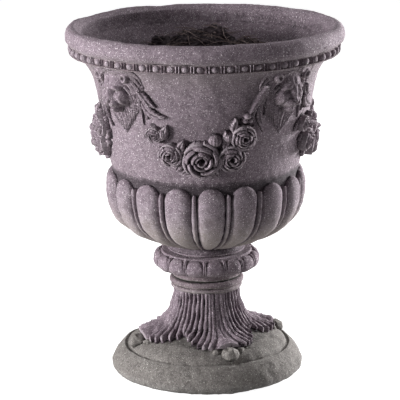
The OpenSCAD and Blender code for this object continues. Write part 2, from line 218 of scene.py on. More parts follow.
class Shape:
    """Closed shells that make up one piece, in millimetres."""

    def __init__(self, points: Sequence[Array] = (), faces: Sequence[Sequence[int]] = ()) -> None:
        """Starts with the points and faces of another shape, or with none."""
        self.points = list(points)
        self.faces = list(faces)
        self.count = sum(len(p) for p in self.points)

    def add(self, points: Array, faces: Array) -> None:
        """Adds a closed shell and turns its faces outwards.

        Args:
            points: Corner points, one a row.
            faces: Corner numbers, four to a face.
        """
        p = points.reshape(-1, 3)
        middle = p.mean(0)
        a, b, c, d = (p[faces[:, k]] - middle for k in range(4))
        volume = np.einsum("ij,ij->", a, np.cross(b, c)) + np.einsum("ij,ij->", a, np.cross(c, d))
        ordered = faces if volume > 0 else faces[:, ::-1]
        self.points.append(p)
        self.faces.extend((ordered + self.count).tolist())
        self.count += len(p)

    def ring(self, grid: Array) -> None:
        """Adds a shell that closes on itself in both directions.

        Args:
            grid: Its points, in rows and columns.
        """
        rows, cols = grid.shape[:2]
        number = np.arange(rows * cols).reshape(rows, cols)
        right = np.roll(number, -1, 1)
        up = np.roll(number, -1, 0)
        both = np.roll(right, -1, 0)
        self.add(grid, np.stack([number, right, both, up], -1).reshape(-1, 4))

    def turn(self, profile: Array, cols: int, stand: Carving | None = None) -> None:
        """Adds a closed profile turned round the axis.

        Args:
            profile: Points (r, z) of the closed outline.
            cols: Number of steps round the axis.
            stand: Height over the turned surface, from the angle and the row number.
        """
        angle = np.arange(cols) * 360 / cols
        r = np.repeat(profile[:, :1], cols, 1)
        z = np.repeat(profile[:, 1:], cols, 1)
        if stand is not None:
            ahead, behind = np.roll(profile, -1, 0), np.roll(profile, 1, 0)
            way = ahead - behind
            way /= np.maximum(np.linalg.norm(way, axis=1), 1e-9)[:, None]
            rows, angles = np.meshgrid(np.arange(len(profile)), angle, indexing="ij")
            h = stand(angles, rows)
            r = r + h * way[:, 1:]
            z = z - h * way[:, :1]
        self.ring(turned(r, angle[None, :], z))

    def sweep(self, sections: Array) -> None:
        """Adds a shell through closed sections, with flat ends.

        Args:
            sections: Points of the sections, one section a row.
        """
        rows, cols = sections.shape[:2]
        number = np.arange(rows * cols).reshape(rows, cols)
        right = np.roll(number, -1, 1)
        body = np.stack([number[:-1], right[:-1], right[1:], number[1:]], -1).reshape(-1, 4)
        ends = []
        points = [sections.reshape(-1, 3)]
        for k, row in enumerate((number[0], number[-1])):
            middle = rows * cols + k
            points.append(sections[0 if k == 0 else -1].mean(0)[None, :])
            ahead = np.roll(row, -1)
            fan = np.stack([np.full(cols, middle), ahead, row, row], -1)
            ends.append(fan if k == 0 else np.stack([np.full(cols, middle), row, ahead, ahead], -1))
        self.add(np.concatenate(points), np.concatenate([body, *ends]))

    def ball(self, middle: Array, axes: Array, rows: int = 10, cols: int = 16) -> None:
        """Adds an ellipsoid.

        Args:
            middle: Its middle.
            axes: Its three half axes, one a row.
            rows: Steps from pole to pole.
            cols: Steps round the third axis.
        """
        lean = np.linspace(-math.pi / 2 + 0.02, math.pi / 2 - 0.02, rows)[:, None]
        round_it = (np.arange(cols) * 2 * math.pi / cols)[None, :]
        unit = np.stack(np.broadcast_arrays(
            np.cos(lean) * np.cos(round_it), np.cos(lean) * np.sin(round_it), np.sin(lean)), -1)
        self.sweep(np.asarray(middle) + unit @ np.asarray(axes, float))

    def all_points(self) -> Array:
        """Every point of the shape."""
        return np.concatenate(self.points)

    def about_axis(self, angle: float) -> "Shape":
        """A copy that is turned round the urn's axis by an angle in degrees."""
        return Shape([turn_about_axis(self.all_points(), angle)], self.faces)


def surface(mesh: bpy.types.Mesh) -> tuple[Array, Array]:
    """Reads a mesh.

    Args:
        mesh: The mesh, in metres.

    Returns:
        Its points and their normals, one a row.
    """
    points, normals = (np.empty(len(mesh.vertices) * 3) for _ in range(2))
    mesh.vertices.foreach_get("co", points)
    mesh.vertex_normals.foreach_get("vector", normals)
    return points.reshape(-1, 3), normals.reshape(-1, 3)


def spread_out(values: Array, pairs: Array, weight: Array, rounds: int) -> Array:
    """Averages values over the neighbours of each point.

    Args:
        values: One row of values a point.
        pairs: The mesh's edges.
        weight: Number of neighbours of each point.
        rounds: How often to average.

    Returns:
        The averaged values.
    """
    found = values
    for _ in range(rounds):
        total = np.stack([
            np.bincount(pairs[:, 0], found[pairs[:, 1], k], len(found))
            + np.bincount(pairs[:, 1], found[pairs[:, 0], k], len(found))
            for k in range(found.shape[1])], -1)
        found = 0.5 * found + 0.5 * total / weight[:, None]
    return found


def mark_hollows(mesh: bpy.types.Mesh, rounds: int, over: Height | None = None) -> None:
    """Stores in the attribute "hollow" how far each point lies under its surroundings, for painted shade.

    Args:
        mesh: The mesh to mark, in metres.
        rounds: How far the surroundings reach, in steps of the mesh.
        over: Height of points over the ground, whose foot gets painted shade too.
    """
    points, normals = surface(mesh)
    pairs = np.empty(len(mesh.edges) * 2, np.int64)
    mesh.edges.foreach_get("vertices", pairs)
    weight = np.maximum(np.bincount(pairs, minlength=len(points)), 1).astype(float)
    pairs = pairs.reshape(-1, 2)
    around = spread_out(points, pairs, weight, rounds)
    depth = np.einsum("ij,ij->i", around - points, normals) / MM
    depth = spread_out(depth[:, None], pairs, weight, 1)[:, 0]
    # Painted shade at the foot of a piece, where it meets the ground it lies on.
    if over is not None:
        low = 1 - ease((over(points / MM) - SHADE_LOW) / (SHADE_HIGH - SHADE_LOW))
        depth = np.maximum(depth, 2 * (low - 1)) + SHADE * low
    attribute = mesh.attributes.new("hollow", "FLOAT", "POINT")
    attribute.data.foreach_set("value", np.clip(depth, -2, 2).astype(np.float32))


def roughen(mesh: bpy.types.Mesh, uneven: Sequence[Unevenness]) -> None:
    """Lays waves on a mesh, in place, and keeps it over the floor.

    Args:
        mesh: The mesh, in metres.
        uneven: The waves.
    """
    points, normals = surface(mesh)
    height = sum(waves.at(points / MM) for waves in uneven)
    points = points + normals * (height * MM)[:, None]
    points[:, 2] = np.maximum(points[:, 2], 0)
    mesh.vertices.foreach_set("co", points.ravel())
    mesh.update()


def make_mesh(name: str, shape: Shape, uneven: Sequence[Unevenness] = CAST) -> bpy.types.Mesh:
    """Makes a mesh of a shape, in metres, with a slightly uneven surface.

    Args:
        name: Name of the mesh.
        shape: The shape.
        uneven: Waves to lay on its surface.

    Returns:
        The mesh, smooth but for its sharp edges.
    """
    mesh = bpy.data.meshes.new(name)
    mesh.from_pydata(shape.all_points() * MM, [], shape.faces)
    mesh.validate()
    if uneven:
        roughen(mesh, uneven)
    mesh.shade_smooth()
    mesh.set_sharp_from_angle(angle=SHARP)
    return mesh


def dress(mesh: bpy.types.Mesh, material: bpy.types.Material) -> None:
    """Gives a mesh its one material."""
    mesh.materials.clear()
    mesh.materials.append(material)


def make_object(name: str, data: bpy.types.ID) -> bpy.types.Object:
    """Links a mesh, lamp or camera to the scene as an object at the origin.

    Args:
        name: Name of the object.
        data: The mesh, lamp or camera.

    Returns:
        The object.
    """
    made = bpy.data.objects.new(name, data)
    bpy.context.scene.collection.objects.link(made)
    return made


class Relief:
    """Heights over a flat patch that is laid on a curved surface later, in millimetres."""

    def __init__(self, low: Sequence[float], high: Sequence[float], step: float) -> None:
        """Starts with an empty patch.

        Args:
            low: Lowest x and z of the patch.
            high: Highest x and z.
            step: Spacing of its points.
        """
        xs = np.arange(low[0], high[0] + step, step)
        zs = np.arange(low[1], high[1] + step, step)
        self.x, self.z = np.meshgrid(xs, zs)
        self.h = np.full(self.x.shape, -6.0)

    def join(self, height: Array, soft: float) -> None:
        """Lays a form over what is there, with a soft seam."""
        gap = np.maximum(soft - np.abs(self.h - height), 0)
        self.h = np.maximum(self.h, height) + gap * gap / (4 * soft)

    def local(self, middle: Sequence[float], turn: float) -> tuple[Array, Array]:
        """Measures the patch from a middle.

        Args:
            middle: The middle.
            turn: Turn of the axes in degrees.

        Returns:
            Both coordinates of every point.
        """
        c, s = math.cos(math.radians(turn)), math.sin(math.radians(turn))
        dx, dz = self.x - middle[0], self.z - middle[1]
        return dx * c + dz * s, dz * c - dx * s

    def dome(self, middle: Sequence[float], size: Sequence[float], top: float, turn: float = 0.0,
             base: float = 0.0, soft: float = 2.0, power: float = 0.5) -> None:
        """Adds a rounded form.

        Args:
            middle: Its middle.
            size: Its half axes.
            top: Its height.
            turn: Its turn in degrees.
            base: Height at its edge.
            soft: Width of the seam to its surroundings.
            power: 0.5 for an ellipsoid, 1 for a flatter form.
        """
        u, v = self.local(middle, turn)
        far = (u / size[0]) ** 2 + (v / size[1]) ** 2
        inside = np.clip(1 - far, 0, 1) ** power
        self.join(base + (top - base) * inside - 12 * np.maximum(far - 1, 0), soft)

    def dent(self, middle: Sequence[float], size: Sequence[float], depth: float, turn: float = 0.0) -> None:
        """Presses a soft dent in."""
        u, v = self.local(middle, turn)
        self.h -= depth * np.exp(-1.5 * ((u / size[0]) ** 2 + (v / size[1]) ** 2))

    def along(self, path: Array) -> tuple[Array, Array]:
        """Finds the nearest place on a path for every point of the patch.

        Args:
            path: Points of the path.

        Returns:
            The share along the path, and the distance to its left as a signed number.
        """
        best = np.full(self.x.shape, 1e9)
        share = np.zeros(self.x.shape)
        side = np.zeros(self.x.shape)
        count = len(path) - 1
        for k in range(count):
            a, b = path[k], path[k + 1]
            way = b - a
            length = max(float(way @ way), 1e-9)
            dx, dz = self.x - a[0], self.z - a[1]
            t = np.clip((dx * way[0] + dz * way[1]) / length, 0, 1)
            ox, oz = dx - t * way[0], dz - t * way[1]
            far = np.hypot(ox, oz)
            closer = far < best
            best = np.where(closer, far, best)
            share = np.where(closer, (k + t) / count, share)
            sign = np.sign(way[0] * oz - way[1] * ox)
            side = np.where(closer, far * np.where(sign == 0, 1, sign), side)
        return share, side

    def lock(self, points: Sequence[Sequence[float]], width: float, top: float, strands: int = 2,
             soft: float = 0.8, base: float = 0.0, tail: float = 0.12, over: Values = 0.0,
             groove: float = 0.8) -> None:
        """Adds a tapered lock of hair, a strand or a ribbon.

        Args:
            points: Control points of its middle line.
            width: Half its width where it is widest.
            top: Its height.
            strands: Number of strands that it is combed into.
            soft: Width of the seam to its surroundings.
            base: Height at its edge.
            tail: Width at its end, as a share.
            over: Ground that its heights are measured from.
            groove: Depth of the grooves between its strands.
        """
        share, side = self.along(curve(points, 15))
        taper = mix(0.55, 1.0, ease(share / 0.3)) * mix(1.0, tail, ease((share - 0.45) / 0.55))
        across = side / (width * taper)
        inside = np.clip(1 - across ** 2, 0, 1) ** 0.5
        comb = groove * np.abs(np.sin(math.pi * strands * (across + 1) / 2)) ** 0.6
        height = base + (top - base) * inside * mix(1.0, 0.6, share) + np.where(inside > 0, comb, 0)
        self.join(over + height - groove - 8 * np.maximum(np.abs(across) - 1, 0), soft)

    def rib(self, points: Sequence[Sequence[float]], width: float, top: float, low: float,
            flare: float, soft: float) -> None:
        """Adds a round rib that ends in a blunt tooth.

        Args:
            points: Control points of its middle line.
            width: Half its width at its start.
            top: Its height.
            low: Height at its edge.
            flare: Width towards its end, as a share.
            soft: Width of the seam to its surroundings.
        """
        share, side = self.along(curve(points, 15))
        spread = width * mix(1.0, flare, ease(share)) * mix(1.0, 0.42, ease((share - 0.84) / 0.16))
        across = side / spread
        inside = np.clip(1 - across ** 2, 0, 1) ** 0.42
        self.join(mix(low, top, inside) - 10 * np.maximum(np.abs(across) - 1, 0), soft)

    def leaf(self, base: Sequence[float], tip: Sequence[float], width: float, top: float,
             bend: float = 0.0, teeth: int = 5, low: float = 1.0) -> None:
        """Adds a leaf with a midrib, veins and a toothed edge.

        Args:
            base: Where it starts.
            tip: Where it ends.
            width: Half its width where it is widest.
            top: Its height.
            bend: How far its middle line bows to the left.
            teeth: Teeth on each side.
            low: Height at its edge.
        """
        a, b = np.asarray(base, float), np.asarray(tip, float)
        way = b - a
        bow = (a + b) / 2 + np.array([-way[1], way[0]]) / np.hypot(*way) * bend
        share, side = self.along(curve([a, bow, b], 13))
        saw = (share * teeth) % 1
        outline = np.sin(math.pi * np.clip(share, 0, 1) ** 0.75) ** 0.8 * (0.86 + 0.22 * saw)
        across = side / (width * np.maximum(outline, 0.03))
        inside = np.clip(1 - across ** 2, 0, 1)
        cup = mix(low, top, inside ** 0.35 * (0.72 + 0.28 * np.abs(across)))
        midrib = 0.9 * np.exp(-(side / 0.9) ** 2)
        veins = 0.45 * np.abs(np.sin(math.pi * (share * teeth - 0.8 * np.abs(across)))) ** 4
        height = cup - veins * inside - midrib
        ends = 6 * (np.clip(0.02 - share, 0, 1) + np.clip(share - 0.985, 0, 1))
        self.join(height - 10 * np.maximum(np.abs(across) - 1, 0) - ends, 0.5)

    def shell(self, place: Place, depth: float = 2.5, waist: float = 1.0) -> tuple[Array, Array]:
        """Makes a closed shell of what stands over the surface.

        Args:
            place: Turns x, z and height into points in space.
            depth: How far the back lies under the surface.
            waist: Width of the back, as a share of the front's.

        Returns:
            Points and faces.
        """
        kept = self.h > 0.05
        keep = kept[:-1, :-1] | kept[1:, :-1] | kept[:-1, 1:] | kept[1:, 1:]
        keep = np.pad(keep, 1)
        for _ in range(4):
            a, b, c, d = keep[:-1, :-1], keep[:-1, 1:], keep[1:, :-1], keep[1:, 1:]
            crossed = (a & d & ~b & ~c) | (b & c & ~a & ~d)
            rows, cols = np.nonzero(crossed)
            keep[rows, cols] = keep[rows + 1, cols] = True
            keep[rows, cols + 1] = keep[rows + 1, cols + 1] = True
        keep[[0, -1]] = keep[:, [0, -1]] = False
        inner = keep[1:-1, 1:-1]
        rows, cols = self.x.shape
        number = np.arange(rows * cols).reshape(rows, cols)
        size = rows * cols
        a, b, c, d = number[:-1, :-1], number[:-1, 1:], number[1:, 1:], number[1:, :-1]
        cells = np.stack([a, b, c, d], -1)[inner]
        parts = [cells, cells[:, ::-1] + size]
        sides = [(a, b, keep[:-2, 1:-1]), (b, c, keep[1:-1, 2:]),
                 (c, d, keep[2:, 1:-1]), (d, a, keep[1:-1, :-2])]
        for start, end, neighbour in sides:
            open_side = inner & ~neighbour
            p, q = start[open_side], end[open_side]
            parts.append(np.stack([q, p, p + size, q + size], -1))
        faces = np.concatenate(parts)
        height = np.maximum(self.h, -0.6)
        back_x, back_z = (mix(float(way.mean()), way, waist) for way in (self.x, self.z))
        points = np.concatenate([place(self.x, self.z, height).reshape(-1, 3),
                                 place(back_x, back_z, np.full(self.x.shape, -depth)).reshape(-1, 3)])
        used, faces = np.unique(faces, return_inverse=True)
        return points[used], faces.reshape(-1, 4)


class Wire:
    """A socket of a node tree that can be used in sums, whose terms are wires and numbers."""

    def __init__(self, graph: "Graph", socket: bpy.types.NodeSocket) -> None:
        """Wraps a socket of a graph."""
        self.graph = graph
        self.socket = socket

    def __add__(self, other: Term) -> "Wire":
        """Sum."""
        return self.graph.maths("ADD", self, other)

    def __radd__(self, other: float) -> "Wire":
        """Sum with a number on the left."""
        return self.graph.maths("ADD", other, self)

    def __sub__(self, other: Term) -> "Wire":
        """Difference."""
        return self.graph.maths("SUBTRACT", self, other)

    def __rsub__(self, other: float) -> "Wire":
        """Difference with a number on the left."""
        return self.graph.maths("SUBTRACT", other, self)

    def __mul__(self, other: Term) -> "Wire":
        """Product."""
        return self.graph.maths("MULTIPLY", self, other)

    def __rmul__(self, other: float) -> "Wire":
        """Product with a number on the left."""
        return self.graph.maths("MULTIPLY", other, self)

    def __truediv__(self, other: Term) -> "Wire":
        """Quotient."""
        return self.graph.maths("DIVIDE", self, other)

    def __rtruediv__(self, other: float) -> "Wire":
        """Quotient of a number and this."""
        return self.graph.maths("DIVIDE", other, self)

    def over(self, other: Term) -> "Wire":
        """1 where this is greater than the other, or else 0."""
        return self.graph.maths("GREATER_THAN", self, other)

    def most(self, other: Term) -> "Wire":
        """The greater of the two."""
        return self.graph.maths("MAXIMUM", self, other)

    def span(self, low: float, high: float) -> "Wire":
        """Smooth step that is 0 at low and 1 at high."""
        return self.graph.node("ShaderNodeMapRange", {"Value": self, "From Min": low, "From Max": high},
                               interpolation_type="SMOOTHSTEP")["Result"]


class Made:
    """A node whose outputs are taken by name."""

    def __init__(self, graph: "Graph", node: bpy.types.Node) -> None:
        """Wraps a node of a graph."""
        self.graph = graph
        self.node = node

    def __getitem__(self, name: str) -> Wire:
        """Output with that name or identifier."""
        found = [s for s in self.node.outputs if name in (s.identifier, s.name) and s.enabled]
        return Wire(self.graph, found[0])


class Graph:
    """A node tree that is written as Python expressions."""

    def __init__(self, tree: bpy.types.NodeTree) -> None:
        """Wraps a tree."""
        self.tree = tree

    @classmethod
    def of(cls, owner: "bpy.types.Material | bpy.types.World") -> "Graph":
        """Empties the tree of a material or world.

        Args:
            owner: The material or world.

        Returns:
            Its tree.
        """
        owner.use_nodes = True
        owner.node_tree.nodes.clear()
        return cls(owner.node_tree)

    def feed(self, socket: bpy.types.NodeSocket, value: object) -> None:
        """Links or sets a socket.

        Args:
            socket: The socket.
            value: A wire, or a number or colour.
        """
        if isinstance(value, Wire):
            self.tree.links.new(value.socket, socket)
        else:
            socket.default_value = value

    def node(self, kind: str, values: dict[str, object] | None = None, **settings: object) -> Made:
        """Adds a node.

        Args:
            kind: The node's type.
            values: Numbers, colours or wires for its sockets, by name or identifier.
            settings: What is set on the node itself, first.

        Returns:
            The node.
        """
        made = self.tree.nodes.new(kind)
        for key, value in settings.items():
            setattr(made, key, value)
        for key, value in (values or {}).items():
            self.feed(next(s for s in made.inputs if key in (s.identifier, s.name) and s.enabled), value)
        return Made(self, made)

    def maths(self, operation: str, *terms: Term) -> Wire:
        """Adds a Math node.

        Args:
            operation: Its operation.
            terms: What it works on.

        Returns:
            The result.
        """
        made = self.tree.nodes.new("ShaderNodeMath")
        made.operation = operation
        for socket, value in zip(made.inputs, terms):
            self.feed(socket, value)
        return Wire(self, made.outputs[0])

    def blend(self, a: "Wire | Colour", b: "Wire | Colour", factor: Term) -> Wire:
        """Mixes two colours.

        Args:
            a: First colour.
            b: Second colour.
            factor: Share of the second colour.

        Returns:
            The mixed colour.
        """
        def full(colour: "Wire | Colour") -> "Wire | tuple[float, ...]":
            """Colour with its alpha."""
            return colour if isinstance(colour, Wire) else (*colour, 1.0)

        return self.node("ShaderNodeMix", {"Factor_Float": factor, "A_Color": full(a), "B_Color": full(b)},
                         data_type="RGBA")["Result_Color"]


@dataclass(frozen=True)
class StoneFinish:
    """Cast stone with pale grains.

    Attributes:
        name: Name of the material.
        body: Usual colour.
        deep: Colour of its darker patches.
        pale: Colour of worn edges.
        speck: Colour of the grains.
        low: Colour painted on downward faces, for the shade and bounce light that fall there.
        underside_paint_share: How strongly it does.
        grain: Depth of the surface grain in millimetres.
    """

    name: str
    body: Colour
    deep: Colour
    pale: Colour
    speck: Colour
    low: Colour
    underside_paint_share: float = 0.3
    grain: float = 0.5

    def material(self) -> bpy.types.Material:
        """Makes the material.

        Returns:
            The material.
        """
        made = bpy.data.materials.new(self.name)
        g = Graph.of(made)
        where = g.node("ShaderNodeTexCoord")["Object"]

        def noise(scale: float, detail: float, roughness: float = 0.55) -> Wire:
            """Noise between 0 and 1."""
            return g.node("ShaderNodeTexNoise", {
                "Vector": where, "Scale": scale, "Detail": detail, "Roughness": roughness})["Fac"]

        def grains(cell: float, size: float, share: float) -> Wire:
            """Round grains in some of the cells of a loose lattice.

            Args:
                cell: Spacing in millimetres.
                size: Radius in millimetres.
                share: Share of the cells that hold one.

            Returns:
                1 on a grain, 0 elsewhere.
            """
            cells = g.node("ShaderNodeTexVoronoi", {"Vector": where, "Scale": 1 / (cell * MM)})
            pick = g.node("ShaderNodeSeparateColor", {"Color": cells["Color"]})
            reach = (pick["Green"] * 0.6 + 0.55) * (size / cell)
            inside = (reach - cells["Distance"]).span(0.0, 0.35 * size / cell)
            return inside * pick["Red"].over(1 - share)

        patches = noise(16, 3).span(0.35, 0.68)
        clouds = noise(75, 5, 0.65).span(0.36, 0.66)
        sand = noise(330, 4, 0.85).span(0.38, 0.62)
        colour = g.blend(self.deep, self.body, sand * 0.62 + clouds * 0.24 + patches * 0.14)
        # Painted shade and bounce light on downward faces, in the low colour.
        facing = g.node("ShaderNodeNewGeometry")["Normal"]
        down = g.node("ShaderNodeSeparateXYZ", {"Vector": facing})["Z"] * -1.0
        colour = g.blend(colour, self.low, down.span(0.0, 0.9) * self.underside_paint_share)
        hollow = g.node("ShaderNodeAttribute", attribute_name="hollow")["Fac"]
        colour = g.blend(colour, self.pale, (hollow * -1.0).span(0.12, 0.9) * 0.5)
        # Painted shade in hollows and at the foot of ornament: it darkens the colour and dulls the grains.
        painted_shade = hollow.span(0.05, 0.75)
        colour = g.blend(colour, tuple(0.25 * c for c in self.deep), painted_shade * 0.85)
        big, small = grains(5.2, 0.9, 0.45), grains(2.6, 0.66, 0.75)
        dust = grains(1.7, 0.5, 0.8)
        specks = (big * 1.0).most(small * 0.85).most(dust * 0.65) * (1.0 - painted_shade * 0.7)
        colour = g.blend(colour, self.speck, specks)
        pits = grains(2.8, 0.7, 0.5).most(grains(8.0, 1.1, 0.25))
        colour = g.blend(colour, tuple(0.3 * c for c in self.deep), pits * 0.75)
        rough = noise(850, 3, 0.7) * 0.7 + noise(300, 2) * 0.8 + specks * 0.25 - pits * 0.9
        bump = g.node("ShaderNodeBump", {
            "Strength": 0.8, "Distance": self.grain * MM, "Height": rough})["Normal"]
        skin = g.node("ShaderNodeBsdfPrincipled", {
            "Base Color": colour, "Roughness": 0.88 - specks * 0.12, "Normal": bump,
            "Specular IOR Level": 0.25})
        g.node("ShaderNodeOutputMaterial", {"Surface": skin["BSDF"]})
        return made


@dataclass(frozen=True)
class PlainFinish:
    """A rough matt finish with cloudy colour.

    Attributes:
        name: Name of the material.
        light: Its lighter colour.
        dark: Its darker colour.
        cloud: Spacing of its clouds in millimetres.
        grain: Depth of its surface grain in millimetres.
    """

    name: str
    light: Colour
    dark: Colour
    cloud: float
    grain: float

    def material(self) -> bpy.types.Material:
        """Makes the material.

        Returns:
            The material.
        """
        made = bpy.data.materials.new(self.name)
        g = Graph.of(made)
        where = g.node("ShaderNodeTexCoord")["Object"]
        clouds = g.node("ShaderNodeTexNoise", {
            "Vector": where, "Scale": 1 / (self.cloud * MM), "Detail": 6.0, "Roughness": 0.7})["Fac"]
        colour = g.blend(self.dark, self.light, clouds.span(0.35, 0.7))
        bump = g.node("ShaderNodeBump", {
            "Strength": 0.9, "Distance": self.grain * MM, "Height": clouds})["Normal"]
        skin = g.node("ShaderNodeBsdfPrincipled", {
            "Base Color": colour, "Roughness": 0.95, "Normal": bump, "Specular IOR Level": 0.2})
        g.node("ShaderNodeOutputMaterial", {"Surface": skin["BSDF"]})
        return made


# The fifth colour of each stone is painted on downward faces, for the shade and bounce light there.
MAUVE_STONE = StoneFinish("mauve_cast_stone", (0.275, 0.22, 0.256), (0.098, 0.074, 0.09), (0.41, 0.36, 0.39),
                          (0.74, 0.67, 0.70), (0.225, 0.20, 0.185))
# The lobes' copy is painted lighter on downward faces, for bounce light from below.
LOBE_STONE_PAINTED_UNDERLIGHT = replace(MAUVE_STONE, name="lobe_cast_stone_painted_underlight", low=(0.40, 0.355, 0.31), underside_paint_share=0.6)
OLIVE_STONE = StoneFinish("olive_cast_stone", (0.225, 0.172, 0.196), (0.08, 0.06, 0.068), (0.33, 0.295, 0.30),
                          (0.62, 0.57, 0.56), (0.21, 0.19, 0.16), 0.5)
FOOT_STONE = StoneFinish("green_foot_stone", (0.224, 0.208, 0.195), (0.084, 0.074, 0.072),
                         (0.33, 0.315, 0.305), (0.50, 0.48, 0.45), (0.14, 0.14, 0.125))
JOINT_BED = PlainFinish("bedding_mastic", (0.035, 0.033, 0.03), (0.012, 0.011, 0.01), 3.0, 0.4)
SOIL = PlainFinish("potting_compost", (0.062, 0.047, 0.053), (0.012, 0.008, 0.010), 4.0, 1.5)
STRAW = PlainFinish("dry_roots", (0.26, 0.20, 0.19), (0.07, 0.05, 0.05), 3.0, 0.4)


class Finishes:
    """The materials, each made once."""

    def __init__(self) -> None:
        """Makes every material."""
        self.bell = MAUVE_STONE.material()
        self.lobe = LOBE_STONE_PAINTED_UNDERLIGHT.material()
        self.neck = OLIVE_STONE.material()
        self.foot = FOOT_STONE.material()
        self.bed = JOINT_BED.material()
        self.soil = SOIL.material()
        self.straw = STRAW.material()


class NodeTool:
    """A Geometry Nodes tree that makes a plain mesh."""

    def __init__(self, name: str, sockets: Sequence[tuple[str, str]]) -> None:
        """Starts a tree.

        Args:
            name: Name of the tree.
            sockets: Name and kind of each input after the geometry.
        """
        self.tree = bpy.data.node_groups.new(name, "GeometryNodeTree")
        shape = ("Geometry", "Geometry")
        for way, label, kind in (*(("INPUT", *pair) for pair in (shape, *sockets)), ("OUTPUT", *shape)):
            self.tree.interface.new_socket(label, in_out=way, socket_type="NodeSocket" + kind)
        self.graph = Graph(self.tree)
        self.inputs = self.graph.node("NodeGroupInput")

    def close(self, geometry: Wire) -> None:
        """Ends the tree in real geometry with its material set.

        Args:
            geometry: What the tree has made.
        """
        real = self.graph.node("GeometryNodeRealizeInstances", {"Geometry": geometry})["Geometry"]
        dressed = self.graph.node("GeometryNodeSetMaterial", {
            "Geometry": real, "Material": self.inputs["Material"]})["Geometry"]
        self.graph.node("NodeGroupOutput", {"Geometry": dressed})

    def run(self, name: str, mesh: bpy.types.Mesh, values: dict[str, object]) -> bpy.types.Mesh:
        """Runs the tree on a mesh.

        Args:
            name: Name of the result.
            mesh: The mesh that goes in.
            values: Values of the named inputs.

        Returns:
            The finished mesh.
        """
        holder = make_object(name + "_maker", mesh)
        modifier = holder.modifiers.new("maker", "NODES")
        modifier.node_group = self.tree
        known = {item.name: item.identifier for item in self.tree.interface.items_tree
                 if item.item_type == "SOCKET" and item.in_out == "INPUT"}
        for label, value in values.items():
            modifier[known[label]] = value
        graph = bpy.context.evaluated_depsgraph_get()
        made = bpy.data.meshes.new_from_object(holder.evaluated_get(graph))
        made.name = name
        holder.modifiers.remove(modifier)
        bpy.data.objects.remove(holder)
        return made


class CopiesRoundAxis(NodeTool):
    """Copies a shape round the urn's axis."""

    def __init__(self) -> None:
        """Builds the tree."""
        super().__init__("copies_round_axis", [
            ("Count", "Int"), ("First Turn", "Float"), ("Material", "Material")])
        g = self.graph
        count = self.inputs["Count"]
        points = g.node("GeometryNodePoints", {"Count": count})["Points"]
        index = g.node("GeometryNodeInputIndex")["Index"]
        angle = index * (2 * math.pi) / count + self.inputs["First Turn"]
        way = g.node("ShaderNodeCombineXYZ", {"Z": angle})["Vector"]
        rotation = g.node("FunctionNodeEulerToRotation", {"Euler": way})["Rotation"]
        copies = g.node("GeometryNodeInstanceOnPoints", {
            "Points": points, "Instance": self.inputs["Geometry"], "Rotation": rotation})["Instances"]
        self.close(copies)


class Stages:
    """Heights and radii of the urn's stages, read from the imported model, in millimetres."""

    def __init__(self) -> None:
        """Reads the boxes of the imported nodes."""
        self.foot_r, _, self.step_z = self.reach("plinth")
        self.stem_foot_r, _, self.stem_top_z = self.reach("stem")
        self.socket_r, _, self.socket_top_z = self.reach("socket_ring")
        _, _, self.neck_z = self.reach("bedding_ring")
        self.neck_r, self.neck_low_z, self.knot_z = self.reach("neck_spigot")
        self.knot_r, _, self.collar_z = self.reach("knot")
        self.collar_r, _, self.lobed_z = self.reach("collar")
        self.lobe_r, _, self.bell_z = self.reach("gadroons")
        self.bell_neck_r, _, self.cove_z = self.reach("bell")
        self.lip_r, _, self.top_z = self.reach("flared_rim")
        _, self.band_z, self.lip_z = self.reach("egg_band")
        self.soil_r, self.soil_low_z, self.soil_z = self.reach("potting_soil")

    @staticmethod
    def reach(node: str) -> tuple[float, float, float]:
        """Radius, lowest and highest point of a node."""
        low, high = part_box(node)
        return high.x / MM, low.z / MM, high.z / MM

    def foot_slope(self) -> Array:
        """Line (r, z) of the slope from the foot's groove up to the stem."""
        return curve([*near((self.foot_r - SLOPE_IN, self.step_z), ((0, -14), (-2.5, -6), (-16, -1))),
                      *near((self.stem_foot_r, self.step_z), ((2, 2), (-18, 14)))], 30)


@dataclass
class BellWall:
    """The outside of the bell, which masks and garlands lie on."""

    stages: Stages
    lean: float = 25.0
    cove_reach: float = 30.0

    def cove(self, t: Array) -> Array:
        """Follows the cove under the band.

        Args:
            t: Shares along it.

        Returns:
            The points (r, z).
        """
        s = self.stages
        return bezier([(s.bell_neck_r, s.cove_z),
                       (s.bell_neck_r + 0.25 * self.cove_reach, mix(s.cove_z, s.band_z, 0.8)),
                       (s.bell_neck_r + self.cove_reach, s.band_z)], t)

    def radius(self, z: Array) -> Array:
        """Looks up the wall.

        Args:
            z: Heights in millimetres.

        Returns:
            The wall's radius at each height.
        """
        s = self.stages
        bend = self.cove(np.linspace(0, 1, 60))
        straight = s.bell_neck_r - self.lean * (s.cove_z - z) / (s.cove_z - s.bell_z)
        return np.where(z < s.cove_z, straight, np.interp(z, bend[:, 1], bend[:, 0]))

    def over(self, points: Array) -> Array:
        """How far points stand out from the wall."""
        return np.hypot(points[:, 0], points[:, 1]) - self.radius(points[:, 2])

    def layer(self, angle: float, height: float, unit: float = 150.0, lean: float = 0.17) -> Place:
        """Makes the function that lays a relief on the wall.

        Args:
            angle: Where the relief's middle goes, in degrees.
            height: Where its middle goes, in millimetres over the floor.
            unit: Radius at which x is measured.
            lean: How far a height points down, as a share of it.

        Returns:
            The function.
        """
        def place(x: Array, z: Array, h: Array) -> Array:
            """Points in space of the relief's x, z and height."""
            at = z + height
            return turned(self.radius(at) + h, angle + np.degrees(x / unit), at - lean * h)
        return place


